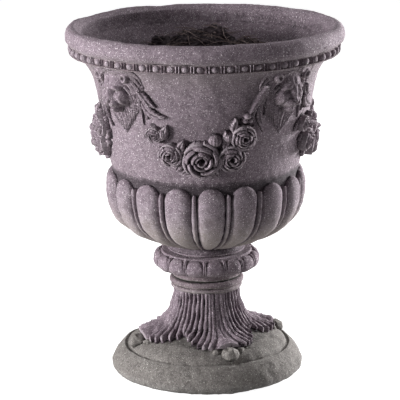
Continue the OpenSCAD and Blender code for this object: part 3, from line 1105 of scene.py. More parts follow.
class Section:
    """A group of pieces on one body, with what they share."""

    body = Body.BOWL

    def __init__(self, stages: Stages, finishes: Finishes) -> None:
        """Keeps the stages and the materials."""
        self.stages = stages
        self.finishes = finishes

    def settle(self, name: str, mesh: bpy.types.Mesh, material: bpy.types.Material, nodes: Sequence[str] = (),
               hollows: int = 8, over: Height | None = None, slot: Slot = Slot.STONE) -> None:
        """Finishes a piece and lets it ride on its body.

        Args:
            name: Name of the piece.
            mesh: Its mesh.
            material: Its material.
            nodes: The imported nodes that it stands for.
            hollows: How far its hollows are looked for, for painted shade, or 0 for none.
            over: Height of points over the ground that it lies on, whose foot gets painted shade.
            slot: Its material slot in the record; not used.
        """
        dress(mesh, material)
        if hollows:
            mark_hollows(mesh, hollows, over)
        piece = make_object(name, mesh)
        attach(piece, self.body.value)
        if nodes:
            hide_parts(*nodes)
        LOG.info("%s: %d faces on %s", name, len(mesh.polygons), self.body.value)

    def turn_piece(self, name: str, profile: Sequence[Array], cols: int, material: bpy.types.Material,
                   nodes: Sequence[str], waves: Sequence[Unevenness] = CAST, carving: Carving | None = None,
                   hollows: int = 8, over: Height | None = None, slot: Slot = Slot.STONE) -> None:
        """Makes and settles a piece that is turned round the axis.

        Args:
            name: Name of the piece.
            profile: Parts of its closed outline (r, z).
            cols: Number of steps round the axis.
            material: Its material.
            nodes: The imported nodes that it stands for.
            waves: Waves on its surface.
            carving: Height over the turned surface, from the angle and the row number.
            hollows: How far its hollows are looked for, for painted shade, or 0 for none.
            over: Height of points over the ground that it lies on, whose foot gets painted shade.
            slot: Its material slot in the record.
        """
        shape = Shape()
        shape.turn(np.concatenate(profile), cols, carving)
        self.settle(name, make_mesh(name, shape, waves), material, nodes, hollows, over, slot)


class WallSection(Section):
    """A group of pieces on the bell's wall."""

    def __init__(self, stages: Stages, finishes: Finishes, wall: BellWall) -> None:
        """Keeps the wall that they lie on."""
        super().__init__(stages, finishes)
        self.wall = wall


@dataclass
class FootSizes:
    """Sizes of the foot disc, stem and socket ring, in millimetres.

    Curves are steps (r, z) from the foot's edge, or from the groove. The shade lies within a radius, and
    fades by a rate from there.
    """

    disc_h: float = 40.0
    edge: Steps = ((-14, 0), (-4, 1), (0, 5), (0, 12))
    shoulder: Steps = ((-0.3, 14), (-2.5, 21), (-9, 33), (-18.5, 39))
    groove_in: float = 20.0
    groove: Steps = ((0.8, -0.9), (-0.5, -2.8), (-4.5, -2.8), (-5.0, -0.6))
    rim_w: float = 30.0
    hollow_r: float = 76.0
    hollow_h: float = 28.0
    way_r: float = 22.0
    shade_r: float = 84.0
    shade_rate: float = 0.22
    shade_least: float = 1.2
    stem_top_r: float = 41.0
    stem_waist: float = 0.36
    socket_hole_r: float = 35.0
    socket_foot_r: float = 47.0


class Pedestal(Section):
    """Foot disc, stem and socket ring."""

    body = Body.PEDESTAL
    sizes = FootSizes()

    def build(self) -> None:
        """Builds every piece of the pedestal."""
        self.foot()
        self.stem()
        self.socket()

    def foot(self) -> None:
        """The foot disc, hollow underneath."""
        s, f = self.stages, self.sizes
        edge = (s.foot_r, 0.0)
        self.turn_piece("foot_disc", [
            curve(near(edge, f.edge), 9),
            curve(near(edge, f.shoulder), 18),
            curve(near((s.foot_r - f.groove_in, f.disc_h), f.groove), 10),
            s.foot_slope(),
            line((s.stem_foot_r - 20, s.step_z + 13), (f.way_r, s.step_z + 1), 8),
            lines([(f.way_r, s.step_z), (f.way_r, f.hollow_h), (f.hollow_r, f.hollow_h),
                   (s.foot_r - f.rim_w, 0), near(edge, f.edge)[0]], (4, 6, 6, 4))
        ], 420, self.finishes.foot, ["plinth"],
            (Unevenness(80, 0.35, 11), Unevenness(20, 0.22, 12), *CAST[1:]),
            over=self.near_leaves, slot=Slot.FOOT)

    def near_leaves(self, points: Array) -> Array:
        """Shade on the slope below the leaves, as a height over the ground.

        Args:
            points: Points, one a row.

        Returns:
            The height of each point.
        """
        f = self.sizes
        shade = np.maximum(f.shade_rate * (np.hypot(points[:, 0], points[:, 1]) - f.shade_r), f.shade_least)
        return np.where(points[:, 2] > f.disc_h - 1, shade, OUT_OF_SHADE)

    def stem(self) -> None:
        """The plain flared stem under the leaves."""
        s, f = self.stages, self.sizes
        top = (f.stem_top_r, s.stem_top_z)
        self.turn_piece("stem_core", [
            curve([top, (f.stem_top_r, mix(s.step_z, s.stem_top_z, f.stem_waist)),
                   (s.stem_foot_r, s.step_z)], 40),
            line((s.stem_foot_r - 1, s.step_z), (f.way_r, s.step_z), 6),
            lines([(f.way_r, s.step_z), (f.way_r, s.stem_top_z), top], (8, 3))
        ], 160, self.finishes.neck, ["stem"])

    def socket(self) -> None:
        """The stepped ring that the bowl stands in."""
        s, f = self.stages, self.sizes
        low = (f.socket_hole_r, s.stem_top_z)
        mid_z = mix(s.stem_top_z, s.socket_top_z, 0.5)
        self.turn_piece("socket_steps", [
            line(low, (f.socket_foot_r, s.stem_top_z), 3),
            arc((s.socket_r - 6.5, s.stem_top_z + 3.6), (4.4, 3.4), -80, 80, 9),
            line((s.socket_r - 5.5, mid_z), (s.socket_r - 5, mid_z + 0.6), 2),
            arc((s.socket_r - 4, s.socket_top_z - 4.2), (4, 4.2), -70, 90, 12),
            lines([(s.socket_r - 5, s.socket_top_z), (f.socket_hole_r, s.socket_top_z), low], (8, 5))
        ], 200, self.finishes.neck, ["socket_ring"])


@dataclass
class SkirtSizes:
    """Sizes of the leaves on the stem, in millimetres and degrees.

    Teeth are given as the angle of a rib at the stem's top, and the angle and the share of the leaf's
    length where it ends. Curls beside the knob are given as angle, radius, height and size.
    """

    first_turn: float = 20.0
    count: int = 4
    thickness: float = 7.0
    top_r: float = 41.5
    waist: float = 0.36
    half_angle: float = 45.5
    tip_r: float = 100.0
    hug: float = 0.74
    unit: float = 1.25
    step: float = 0.62
    teeth: Steps = ((40.5, 43.5, 0.79), (33.0, 38.5, 0.85), (25.5, 32.5, 0.90), (18.5, 26.5, 0.945),
                    (12.5, 21.0, 0.975), (8.0, 15.5, 0.995))
    rib_half: float = 4.1
    knob: tuple[float, float, float] = (12.5, 12.5, 10.5)
    knob_r: float = 108.0
    knob_z: float = 50.0
    curls: Steps = ((10.0, 100.0, 51.5, 6.6), (13.5, 95.0, 54.5, 4.6))
    groove: float = 1.1
    groove_w: float = 1.6


class StemLeaves(Section):
    """Four ribbed leaves that hug the stem and curl on the foot."""

    body = Body.PEDESTAL
    sizes = SkirtSizes()

    def path(self, v: Array) -> Array:
        """Middle line of a leaf's back, from the stem's top to its tip.

        Args:
            v: Shares of the line.

        Returns:
            The points (r, z).
        """
        s, k = self.stages, self.sizes
        stem = [(k.top_r, s.stem_top_z), (k.top_r, mix(s.step_z, s.stem_top_z, k.waist)),
                (s.stem_foot_r, s.step_z)]
        hug = bezier(stem, np.clip(v, 0, k.hug) * 0.98 + 0.01)
        last = bezier(stem, np.array([k.hug * 0.98 + 0.01]))[0]
        out = np.clip((v - k.hug) / (1 - k.hug), 0, 1)[..., None]
        tip = np.array([k.tip_r, s.step_z + 3.5])
        bow = np.array([mix(last[0], k.tip_r, 0.4), mix(last[1], tip[1], 0.5)])
        free = (1 - out) ** 2 * last + 2 * out * (1 - out) * bow + out ** 2 * tip
        return np.where((v > k.hug)[..., None], free, hug)

    def length(self) -> tuple[Array, Array]:
        """Shares of the path, and how far along it in millimetres they lie."""
        v = np.linspace(0, 1, 200)
        return v, run_length(self.path(v))

    def place(self, x: Array, z: Array, h: Array) -> Array:
        """Lays the carving over a leaf's back.

        Args:
            x: Its x, across the leaf.
            z: Its z, along the leaf.
            h: Its height.

        Returns:
            The points in space.
        """
        shares, lengths = self.length()
        v = np.interp(-z, lengths, shares)
        ahead, behind = self.path(np.clip(v + 0.01, 0, 1)), self.path(np.clip(v - 0.01, 0, 1))
        way = ahead - behind
        way /= np.linalg.norm(way, axis=-1)[..., None]
        at = self.path(v)
        angle = x / self.sizes.unit
        droop = 4.0 * ease((v - 0.72) / 0.2) * np.clip(np.abs(angle) / 30, 0, 1) ** 2
        return turned(at[..., 0] - way[..., 1] * h, angle, at[..., 1] + way[..., 0] * h - droop)

    def over(self, points: Array) -> Array:
        """How far points stand over the foot's slope.

        Args:
            points: Points, one a row.

        Returns:
            Their height, which counts less far out, so that painted shade reaches further up the curls.
        """
        slope = self.stages.foot_slope()[::-1]
        r = np.hypot(points[:, 0], points[:, 1])
        over = (points[:, 2] - np.interp(r, slope[:, 0], slope[:, 1])) * np.interp(r, [94, 104], [1.0, 0.24])
        return np.where(r < slope[0, 0], 10.0, over)

    def carve(self) -> Relief:
        """Carves ribs that end in teeth, on both sides of a smooth middle.

        Returns:
            The leaf's relief.
        """
        k = self.sizes
        shares, lengths = self.length()
        long = lengths[-1]
        relief = Relief((-k.half_angle * k.unit, -long), (k.half_angle * k.unit, 0), k.step)
        relief.rib([(0, 1), (0, -0.6 * long), (0, -long - 8)], 6.0, k.thickness, 2.5, 2.4, 0.8)
        for side in (-1, 1):
            for top_angle, end_angle, share in k.teeth:
                end = float(np.interp(share, shares, lengths))
                x, far = side * top_angle * k.unit, side * end_angle * k.unit
                relief.rib([(x, 1), (x, -0.45 * end), (mix(x, far, 0.15), -0.86 * end), (far, -end)],
                           k.rib_half, k.thickness + 0.5, 1.6, 1.0, 0.3)
        relief.dome((0, -long + 2), (10.5, 26), 9.0, 0, 2.0, 4.0, 0.8)
        spread = np.abs(relief.x) / k.unit
        edge = np.interp(spread, [end for _, end, _ in reversed(k.teeth)],
                         [float(np.interp(share, shares, lengths)) for _, _, share in reversed(k.teeth)])
        web = 2.0 - 4 * np.maximum(-relief.z - edge + 6.5, 0)
        relief.h = np.maximum(relief.h, web)
        ends = ease((-relief.z - 12) / 30) * ease((long + relief.z - 8) / 12)
        relief.h -= k.groove * np.exp(-(relief.x / k.groove_w) ** 2) * ends
        return relief

    def build(self) -> None:
        """Builds the four leaves and the curls of their tips."""
        k = self.sizes
        leaf, curl = Shape(), Shape()
        leaf.add(*self.carve().shell(self.place, -0.3))
        curl.ball(turned(k.knob_r, 0.0, k.knob_z), np.diag(k.knob), 22, 34)
        for side in (-1, 1):
            for angle, r, z, size in k.curls:
                curl.ball(turned(r, side * angle, z), np.diag((size, size * 0.9, size * 0.9)), 9, 14)
        leaf_waves = (Unevenness(15, 0.45, 14), *CAST[1:])
        curl_waves = (Unevenness(9, 0.6, 15), Unevenness(4, 0.25, 16))
        for number in range(1, k.count + 1):
            turn = k.first_turn + 360 / k.count * (number - 1)
            name = f"stem_leaf_{number}"
            mesh = make_mesh(name, leaf.about_axis(turn), leaf_waves)
            self.settle(name, mesh, self.finishes.bell, [f"acanthus_leaf_{number}"], 6, self.over)
            name = f"leaf_curl_{number}"
            mesh = make_mesh(name, curl.about_axis(turn), curl_waves)
            self.settle(name, mesh, self.finishes.foot, (), 2, self.over, Slot.FOOT)


@dataclass
class KnotSizes:
    """Sizes of spigot, knot and collar, in millimetres.

    Shares are of the pitch of the knot's eggs.
    """

    spigot_r: float = 34.0
    rows: int = 56
    eggs: int = 16
    egg_share: float = 0.42
    egg_up: float = 0.84
    egg_power: float = 2.6
    egg_rise: float = 0.9
    ground_depth: float = 2.2
    rib_spread: float = 0.05
    rib_share: float = 0.02
    rib_rise: float = 2.2
    hole_r: float = 22.0
    collar_in: float = 4.0
    collar_top_in: float = 10.0


class Neck(Section):
    """Spigot, knot and collar between the pedestal and the lobes."""

    sizes = KnotSizes()

    def build(self) -> None:
        """Builds the three pieces and dresses the bedding ring."""
        self.spigot()
        self.knot()
        self.collar()
        dress(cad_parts["bedding_ring"].data, self.finishes.bed)

    def spigot(self) -> None:
        """Plain neck with the spigot under it."""
        s, k = self.stages, self.sizes
        low, joint_z = (k.hole_r, s.neck_low_z), s.neck_z + 0.3
        self.turn_piece("plain_neck", [lines(
            [low, (k.spigot_r, s.neck_low_z), (k.spigot_r, joint_z), (s.neck_r - 1, joint_z),
             (s.neck_r, s.neck_z + 1.4), (s.neck_r + 1.5, s.knot_z), (k.hole_r, s.knot_z), low],
            (3, 5, 4, 2, 8, 6, 8))], 180, self.finishes.neck, ["neck_spigot"], CAST[1:])

    def knot(self) -> None:
        """Rounded ring carved with eggs and double ribs."""
        s, k = self.stages, self.sizes
        half = (s.collar_z - s.knot_z) / 2
        middle = s.knot_r - half
        self.turn_piece("carved_knot", [
            arc((middle, s.knot_z + half), (half, half), -90, 90, k.rows),
            line((middle - 1, s.collar_z), (k.hole_r, s.collar_z), 8),
            lines([(k.hole_r, s.collar_z), (k.hole_r, s.knot_z), (middle, s.knot_z)], (5, 8))
        ], 800, self.finishes.bell, ["knot"], CAST[1:], self.carving, 6)

    def carving(self, angle: Array, row: Array) -> Array:
        """Height of the knot's carving.

        Args:
            angle: Angles in degrees.
            row: Row numbers of the turned outline.

        Returns:
            The height, which is 0 off the roll.
        """
        k = self.sizes
        share = (angle / (360 / k.eggs)) % 1 - 0.5
        up = np.clip(row / (k.rows - 1), 0, 1) * 2 - 1
        on_roll = (row < k.rows) * ease((0.96 - np.abs(up)) / 0.16)
        across = np.abs(share / (k.egg_share * (1 - 0.16 * up))) ** k.egg_power
        dome = np.clip(1 - across - np.abs((up + 0.02) / k.egg_up) ** k.egg_power, 0, 1) ** 0.4
        spread = k.rib_spread * (1 - 0.35 * up)
        ribs = sum(np.exp(-((np.abs(share) - 0.5 + spread * w) / k.rib_share) ** 2) for w in (0.5, 1.2))
        ribs = ribs * ease((0.86 - np.abs(up)) / 0.2)
        ground = -k.ground_depth
        return on_roll * np.maximum(mix(ground, k.egg_rise, dome), ground + k.rib_rise * np.clip(ribs, 0, 1))

    def collar(self) -> None:
        """Flared collar under the lobes."""
        s, k = self.stages, self.sizes
        edge_r, top_r = s.collar_r - k.collar_in, s.collar_r - k.collar_top_in
        height = s.lobed_z - s.collar_z
        low = (edge_r - 3, s.collar_z)
        # Painted shade over the whole collar, for the shadow that the lobes cast on it.
        self.turn_piece("flared_collar", [
            line(low, (edge_r, s.collar_z + 1), 2),
            arc((edge_r - 1.5, s.collar_z + 2.4), (1.7, 1.6), -60, 80, 7),
            curve([(edge_r - 1.6, s.collar_z + 4.2), (edge_r - 3.5, s.collar_z + 0.5 * height),
                   (top_r - 0.5, s.collar_z + 0.6 * height), (top_r, s.lobed_z)], 14),
            line((top_r - 1, s.lobed_z), (k.hole_r, s.lobed_z), 5),
            lines([(k.hole_r, s.lobed_z), (k.hole_r, s.collar_z), low], (5, 6))
        ], 200, self.finishes.bell, ["collar"], over=lambda points: np.full(len(points), 1.0))


@dataclass
class LobeSizes:
    """Sizes of the lobed bowl, in millimetres and degrees."""

    count: int = 18
    first_turn: float = 5.0
    relief: float = 12.0
    top_h: float = 24.0
    width_share: float = 0.398
    squareness: float = 2.5
    bead_half_w: float = 2.5
    bead_rise: float = 8.5
    bead_end: float = 9.0
    bead_tip: float = 6.0
    flank_rate: float = 0.55
    flank_painted_shade: float = 1.0
    skin: float = 4.0
    sink: float = 2.5


class LobedBowl(Section):
    """The lobes, the beads between them and the ground behind."""

    sizes = LobeSizes()

    def __init__(self, stages: Stages, finishes: Finishes) -> None:
        """Works out the ground line once."""
        super().__init__(stages, finishes)
        s, k = stages, self.sizes
        low_r, wide_r = s.collar_r - 8, s.lobe_r - k.relief
        wide_z = s.bell_z - k.top_h
        body_h = wide_z - s.lobed_z
        rise = curve([(low_r, s.lobed_z + 1), (mix(low_r, wide_r, 0.58), s.lobed_z + 0.25 * body_h),
                      (wide_r, s.lobed_z + 0.42 * body_h), (wide_r, wide_z)], 60)
        top = np.stack([mix(wide_r, wide_r - 1, np.linspace(0, 1, 12)),
                        np.linspace(wide_z, s.bell_z, 12)], -1)[1:]
        self.ground = np.concatenate([rise, top])
        self.length = run_length(self.ground)

    def at(self, distance: Array) -> tuple[Array, Array]:
        """Looks up places on the ground line.

        Args:
            distance: Distances along it.

        Returns:
            The points, and the outward normals there.
        """
        def point(d: Array) -> Array:
            """Ground point at a distance."""
            return np.stack([np.interp(d, self.length, self.ground[:, k]) for k in (0, 1)], -1)

        way = point(distance + 0.8) - point(distance - 0.8)
        way /= np.linalg.norm(way, axis=-1)[..., None]
        return point(distance), np.stack([way[..., 1], -way[..., 0]], -1)

    def build(self) -> None:
        """Builds ground, lobes and beads."""
        k = self.sizes
        copies = CopiesRoundAxis()
        self.backing()
        for name, half_turn, shape in (("round_lobes", 0.0, self.lobe()), ("bead_ribs", 0.5, self.bead())):
            mesh = make_mesh(name, shape, ())
            made = copies.run(name, mesh, {
                "Count": k.count, "Material": self.finishes.lobe,
                "First Turn": math.radians(k.first_turn + half_turn * 360 / k.count)})
            roughen(made, (Unevenness(60, 0.5, 21), *CAST[1:]))
            made.set_sharp_from_angle(angle=SHARP)
            self.settle(name, made, self.finishes.lobe, over=self.over)

    def backing(self) -> None:
        """The skin behind the lobes."""
        outside, normal = self.at(np.linspace(0, self.length[-1], 60))
        inside = (outside - normal * self.sizes.skin)[::-1]
        self.turn_piece("lobe_ground", [outside, inside], 240, self.finishes.bell, ["gadroons"], hollows=1,
                        over=self.over)

    def over(self, points: Array) -> Array:
        """How far points stand out from the ground, counted so that the flanks get painted shade.

        Args:
            points: Points, one a row.

        Returns:
            The height of each.
        """
        k = self.sizes
        ground_r = np.interp(points[:, 2], self.ground[:, 1], self.ground[:, 0])
        return k.flank_rate * (np.hypot(points[:, 0], points[:, 1]) - ground_r) - k.flank_painted_shade

    def sweep(self, distance: Array, side: Array, stand: Array) -> Shape:
        """Sweeps sections along the ground line.

        Args:
            distance: Distances of the sections along the line.
            side: How far to the side their points lie. The last two are the back's.
            stand: How far they stand out.

        Returns:
            The shape.
        """
        base, normal = self.at(distance)
        stand[:, -2:] = -self.sizes.sink
        r = base[:, :1] + normal[:, :1] * stand
        z = base[:, 1:] + normal[:, 1:] * stand
        shape = Shape()
        shape.sweep(turned(r, np.degrees(side / base[:, :1]), z))
        return shape

    def lobe(self) -> Shape:
        """Makes a lobe.

        Returns:
            The lobe at the front.
        """
        k = self.sizes
        total = self.length[-1]
        wide_half = k.width_share * 2 * math.pi * (self.stages.lobe_r - k.relief) / k.count
        distance = np.concatenate([np.linspace(0, total - wide_half, 44, endpoint=False),
                                   total - wide_half + wide_half * np.sin(np.linspace(0, math.pi / 2, 18))])
        base, _ = self.at(distance)
        around = np.linspace(0, math.pi, 25)
        sx = np.sign(np.cos(around)) * np.abs(np.cos(around)) ** (2 / k.squareness)
        sy = np.abs(np.sin(around)) ** (2 / k.squareness)
        pitch = 2 * math.pi * base[:, 0] / k.count
        end = np.clip((distance - (total - wide_half)) / wide_half, 0, 1)
        close = np.sqrt(np.clip(1 - end ** 2, 1e-4, 1))
        half = k.width_share * pitch * close
        rise = k.relief * np.clip(base[:, 0] / (self.stages.lobe_r - k.relief), 0, 1) ** 1.2 * close ** 0.8
        return self.sweep(distance, np.outer(half, [*sx, sx[-1], sx[0]]), np.outer(rise, [*sy, 0, 0]))

    def bead(self) -> Shape:
        """Makes a bead rib.

        Returns:
            The rib at the front.
        """
        k = self.sizes
        total = self.length[-1] - k.bead_end
        tip = k.bead_tip
        distance = np.concatenate([np.linspace(0, total - tip, 48, endpoint=False),
                                   total - tip + tip * np.sin(np.linspace(0, math.pi / 2, 8))])
        base, _ = self.at(distance)
        around = np.linspace(0, math.pi, 11)
        end = np.clip((distance - total + tip) / tip, 0, 1)
        close = np.sqrt(np.clip(1 - end ** 2, 1e-3, 1))
        size = np.clip(base[:, 0] / (self.stages.lobe_r - k.relief), 0, 1) ** 0.75
        half = k.bead_half_w * size * close
        rise = k.bead_rise * size * mix(0.8, 1.0, close)
        stand = (rise - half)[:, None] + np.outer(half, [*np.sin(around), 0, 0])
        return self.sweep(distance, np.outer(half, [*np.cos(around), -1, 1]), stand)


@dataclass
class RimSizes:
    """Sizes of the bell's wall, lip and egg band, in millimetres and degrees.

    The lip's inner curve is given as steps (r, z) from its inner edge.
    """

    wall_t: float = 18.0
    skin: float = 4.3
    lip_t: float = 21.0
    bevel_w: float = 9.0
    bevel_h: float = 6.0
    inner: Steps = ((0, 0), (-1.2, -1.5), (1.5, -8), (-4, -16))
    egg_count: int = 60
    egg_half_w: float = 5.2
    egg_half_h: float = 4.6
    egg_rise: float = 3.4
    rib_half_w: float = 0.85
    rib_half_t: float = 2.4
    rib_spread: float = 2.1
    band_t: float = 4.3
    nick_angle: float = 57.5
    nick_slant: float = 0.09
    nick_depth: float = 1.6
    nick_w: float = 0.3
    foot_painted_shade: float = 1.2


class Bell(WallSection):
    """The bell with its rolled lip, and the egg band under the lip."""

    sizes = RimSizes()

    def build(self) -> None:
        """Builds bell and band."""
        self.shell()
        self.band()

    def shell(self) -> None:
        """Bell, cove, lip and inside in one turned shell."""
        s, k = self.stages, self.sizes
        seat_r = s.bell_neck_r + self.wall.cove_reach
        inner_edge = (s.lip_r - k.lip_t, s.top_z - k.bevel_h)
        crest = (s.lip_r - k.lip_t + k.bevel_w, s.top_z)
        lip_mid_z = mix(s.lip_z, s.top_z, 0.45)
        neck_in = (s.bell_neck_r - k.wall_t - 1.7, s.cove_z)
        foot_r = float(self.wall.radius(np.array(s.bell_z)))
        foot, foot_in = (foot_r, s.bell_z), (foot_r - k.wall_t - k.skin, s.bell_z)
        profile = [
            line(foot, (s.bell_neck_r, s.cove_z), 60),
            self.wall.cove(np.linspace(0, 1, 30)),
            line((seat_r, s.band_z + 0.5), (seat_r, s.lip_z), 5),
            curve([(seat_r, s.lip_z), (s.lip_r - 1.5, s.lip_z), (s.lip_r + 0.3, mix(s.lip_z, lip_mid_z, 0.7)),
                   (s.lip_r, lip_mid_z + 1)], 16),
            curve([(s.lip_r, lip_mid_z + 2), (s.lip_r - 0.2, s.top_z - 5),
                   (s.lip_r - 4, s.top_z), crest], 18),
            line(near(crest, (-0.6, -0.2)), inner_edge, 8),
            curve(near(inner_edge, k.inner), 12),
            curve([near(inner_edge, (-5, -18)), (neck_in[0] + 14, mix(s.cove_z, s.band_z, 0.84)),
                   neck_in], 18),
            lines([near(neck_in, (-0.3, -1)), foot_in, foot], (24, 6))]
        outline = np.concatenate(profile)

        def nick(angle: Array, row: Array) -> Array:
            """Height of a short slanted crack in the lip's underside.

            Args:
                angle: Angles in degrees.
                row: Row numbers of the outline.

            Returns:
                The height, which is 0 beside it.
            """
            r, z = (outline[row.astype(int), column] for column in (0, 1))
            on = (r > seat_r + 1) & (z < lip_mid_z + 2)
            off = angle - k.nick_angle - k.nick_slant * (z - s.lip_z)
            return -k.nick_depth * np.exp(-(off / k.nick_w) ** 2) * on

        self.turn_piece("bell_wall", profile, 420, self.finishes.bell, ["bell", "flared_rim"],
                        (Unevenness(90, 0.5, 31), *CAST), nick, over=self.over_foot)

    def over_foot(self, points: Array) -> Array:
        """Height over the lobes, counted so that the bell's foot gets painted shade."""
        return 0.3 * (points[:, 2] - self.stages.bell_z) - self.sizes.foot_painted_shade

    def band(self) -> None:
        """Strip with eggs, and two upright ribs between each two of them."""
        s, k = self.stages, self.sizes
        seat_r = s.bell_neck_r + self.wall.cove_reach
        face_r = seat_r + k.band_t
        low, high = (seat_r - 1, s.band_z - 0.3), (seat_r - 1, s.lip_z + 0.5)
        self.turn_piece("band_strip", [
            line(low, (face_r + 1.6, s.band_z - 0.3), 3),
            arc((face_r + 0.9, s.band_z + 0.6), (1.0, 0.9), -70, 90, 6),
            lines([(face_r, s.band_z + 1.8), (face_r, s.lip_z + 0.5), high, low], (8, 3, 4))
        ], 360, self.finishes.neck, ["egg_band"], CAST[1:], hollows=4)
        unit = Shape()
        middle_z = mix(s.band_z + 1.2, s.lip_z, 0.5)
        unit.ball(turned(face_r - 0.4, 0.0, middle_z),
                  np.diag((k.egg_half_w, k.egg_rise, k.egg_half_h)), 9, 12)
        half_pitch = 180 / k.egg_count
        heights = np.linspace(s.band_z + 1.6, s.lip_z, 6)
        around = np.linspace(0, 2 * math.pi, 8, endpoint=False)
        for side in (-1, 1):
            angle = half_pitch + side * math.degrees(k.rib_spread / face_r)
            x = np.degrees(k.rib_half_w * np.cos(around) / face_r)
            y = k.rib_half_t * np.sin(around)
            unit.sweep(turned(face_r + y, angle + x, heights[:, None]))
        made = CopiesRoundAxis().run("egg_row", make_mesh("egg_unit", unit, ()), {
            "Count": k.egg_count, "Material": self.finishes.bell, "First Turn": 0.0})
        roughen(made, (Unevenness(25, 0.25, 41), CAST[2]))
        self.settle("egg_row", made, self.finishes.bell, hollows=3)


# Locks of one half of the mane, from the outside in: control points (x, z), half width and height.
MANE = (
    (((5, 41), (30, 47), (47, 36), (47, 14)), 5.0, 4.6),
    (((8, 36), (32, 40), (42, 28), (43, 4)), 4.4, 5.0),
    (((12, 33), (30, 33), (39, 18), (37, -8)), 4.2, 5.2),
    (((18, 30), (31, 26), (36, 8), (32, -18)), 3.8, 5.2),
    (((22, 22), (33, 18), (34, -2), (27, -27)), 3.8, 5.4),
    (((21, 14), (31, 6), (30, -14), (21, -36)), 3.8, 5.2),
    (((20, 6), (27, -2), (25, -22), (15, -43)), 3.6, 5.0),
    (((17, -3), (22, -12), (19, -28), (9, -48)), 3.6, 4.6),
    (((13, -12), (16, -22), (13, -34), (5, -52)), 3.4, 4.2),
    (((8, -22), (10, -32), (6, -43), (1, -56)), 3.2, 3.8),
    (((40, 22), (47, 14), (44, 2), (38, -8)), 3.0, 3.4),
    (((36, 2), (37, -10), (31, -20), (25, -30)), 2.8, 3.4),
    (((2, 39), (5, 36), (9, 34), (14, 34)), 3.0, 4.2),
    (((9, 40), (14, 39), (19, 38), (24, 39)), 2.8, 3.6))


@dataclass
class MaskSizes:
    """Sizes of the lion masks, in millimetres and degrees."""

    first_turn: float = 45.0
    count: int = 4
    middle_z: float = 437.6
    plane_r: float = 157.0
    unit: float = 166.0
    lean: float = 0.06
    step: float = 0.8


class LionMasks(WallSection):
    """Four lion masks under the egg band."""

    sizes = MaskSizes()

    def build(self) -> None:
        """Builds the four masks."""
        k = self.sizes
        relief = self.carve()
        for number in range(1, k.count + 1):
            turn = k.first_turn + 360 / k.count * (number - 1)
            shape = Shape()
            shape.add(*relief.shell(self.wall.layer(turn, k.middle_z, k.unit, k.lean)))
            name = f"lion_face_{number}"
            self.settle(name, make_mesh(name, shape, (CAST[2],)), self.finishes.bell,
                        [f"lion_mask_{number}"], 6, self.wall.over)

    def carve(self) -> Relief:
        """Carves a mask over an upright plane, and measures it from the wall in the end.

        Returns:
            The mask's relief.
        """
        k = self.sizes
        relief = Relief((-53, -60), (53, 43), k.step)
        wall = self.wall.radius(relief.z + k.middle_z) - k.plane_r
        relief.h = wall - 6
        self.mane(relief, wall)
        self.face(relief)
        relief.h -= wall
        return relief

    @staticmethod
    def mane(relief: Relief, wall: Array) -> None:
        """Carves mane and beard.

        Args:
            relief: The mask's relief.
            wall: Height of the bell's wall on it.
        """
        heights = (-56, -50, -42, -30, -20, -6, 8, 20, 32, 39, 42)
        widths = (0.5, 4.5, 10, 18, 25, 33, 40, 45, 46, 42, 34)
        half = np.interp(relief.z, heights, widths)
        inside = np.clip(1 - (relief.x / half) ** 2, 0, 1)
        ends = ease((relief.z + 57) / 6) * ease((42.6 - relief.z) / 3)
        thick = 1.0 + 12.0 * np.exp(-(relief.x / 27) ** 2 - ((relief.z - 8) / 26) ** 2)
        relief.join(wall - 2 + (thick + 2) * np.sqrt(inside) * ends, 0.8)
        base = wall + thick - 1.5
        for side in (-1, 1):
            for points, width, top in MANE:
                path = [(side * x, z) for x, z in points]
                relief.lock(path, width, top, 3, 0.3, 0.0, 0.2, base, 1.6)
        relief.lock([(0, -28), (0, -40), (0, -57)], 3.4, 3.6, 2, 0.4, 0.0, 0.2, base, 0.9)

    @staticmethod
    def face(relief: Relief) -> None:
        """Carves skull, ears, brow, eyes, nose, muzzle and chin.

        Args:
            relief: The mask's relief.
        """
        relief.dome((0, 18), (20, 20), 27.0, 0, 10.0, 3.0)
        relief.dome((0, 0), (17, 19), 25.5, 0, 6.0, 3.0)
        for side in (-1, 1):
            relief.dome((side * 12.5, 3), (10.5, 16), 25.0, side * 16, 8.0, 3.5)
            relief.dome((side * 9.0, 14.0), (9.5, 4.8), 28.0, side * -20, 16.0, 3.5)
            relief.dent((side * 10.6, 7.8), (5.2, 3.4), 4.2, side * -14)
            relief.dome((side * 10.4, 8.2), (3.9, 2.7), 23.0, side * -14, 17.0, 0.5)
            relief.dent((side * 10.8, 8.0), (1.3, 1.2), 2.0)
            relief.dome((side * 10.6, 5.0), (5.0, 1.3), 22.0, side * 8, 16.0, 0.7)
        relief.dome((0, 6), (7.0, 19), 30.0, 0, 14.0, 4.0)
        for side in (-1, 1):
            relief.dome((side * 5.2, -8.0), (8.6, 7.6), 30.0, side * 24, 13.0, 3.5)
        relief.dome((0, -5.0), (6.0, 4.4), 32.0, 0, 20.0, 2.0)
        relief.dome((0, -17.5), (7.0, 6.5), 22.5, 0, 8.0, 3.0)
        for side in (-1, 1):
            relief.dent((side * 3.3, -6.0), (1.7, 1.2), 3.4, side * 20)
            relief.dent((side * 6.6, -14.6), (7.5, 1.2), 4.5, side * -28)
            relief.dent((side * 20.5, -7), (2.6, 9.0), 3.0, side * 14)
            relief.dome((side * 24.5, 29), (7.4, 9.4), 32.0, side * -22, 13.0, 1.0)
            relief.dent((side * 24.0, 28), (3.8, 5.4), 10.0, side * -22)
        relief.dent((0, -11), (0.9, 3.0), 3.0)
        relief.dent((0, 21), (2.6, 8.0), 1.4)


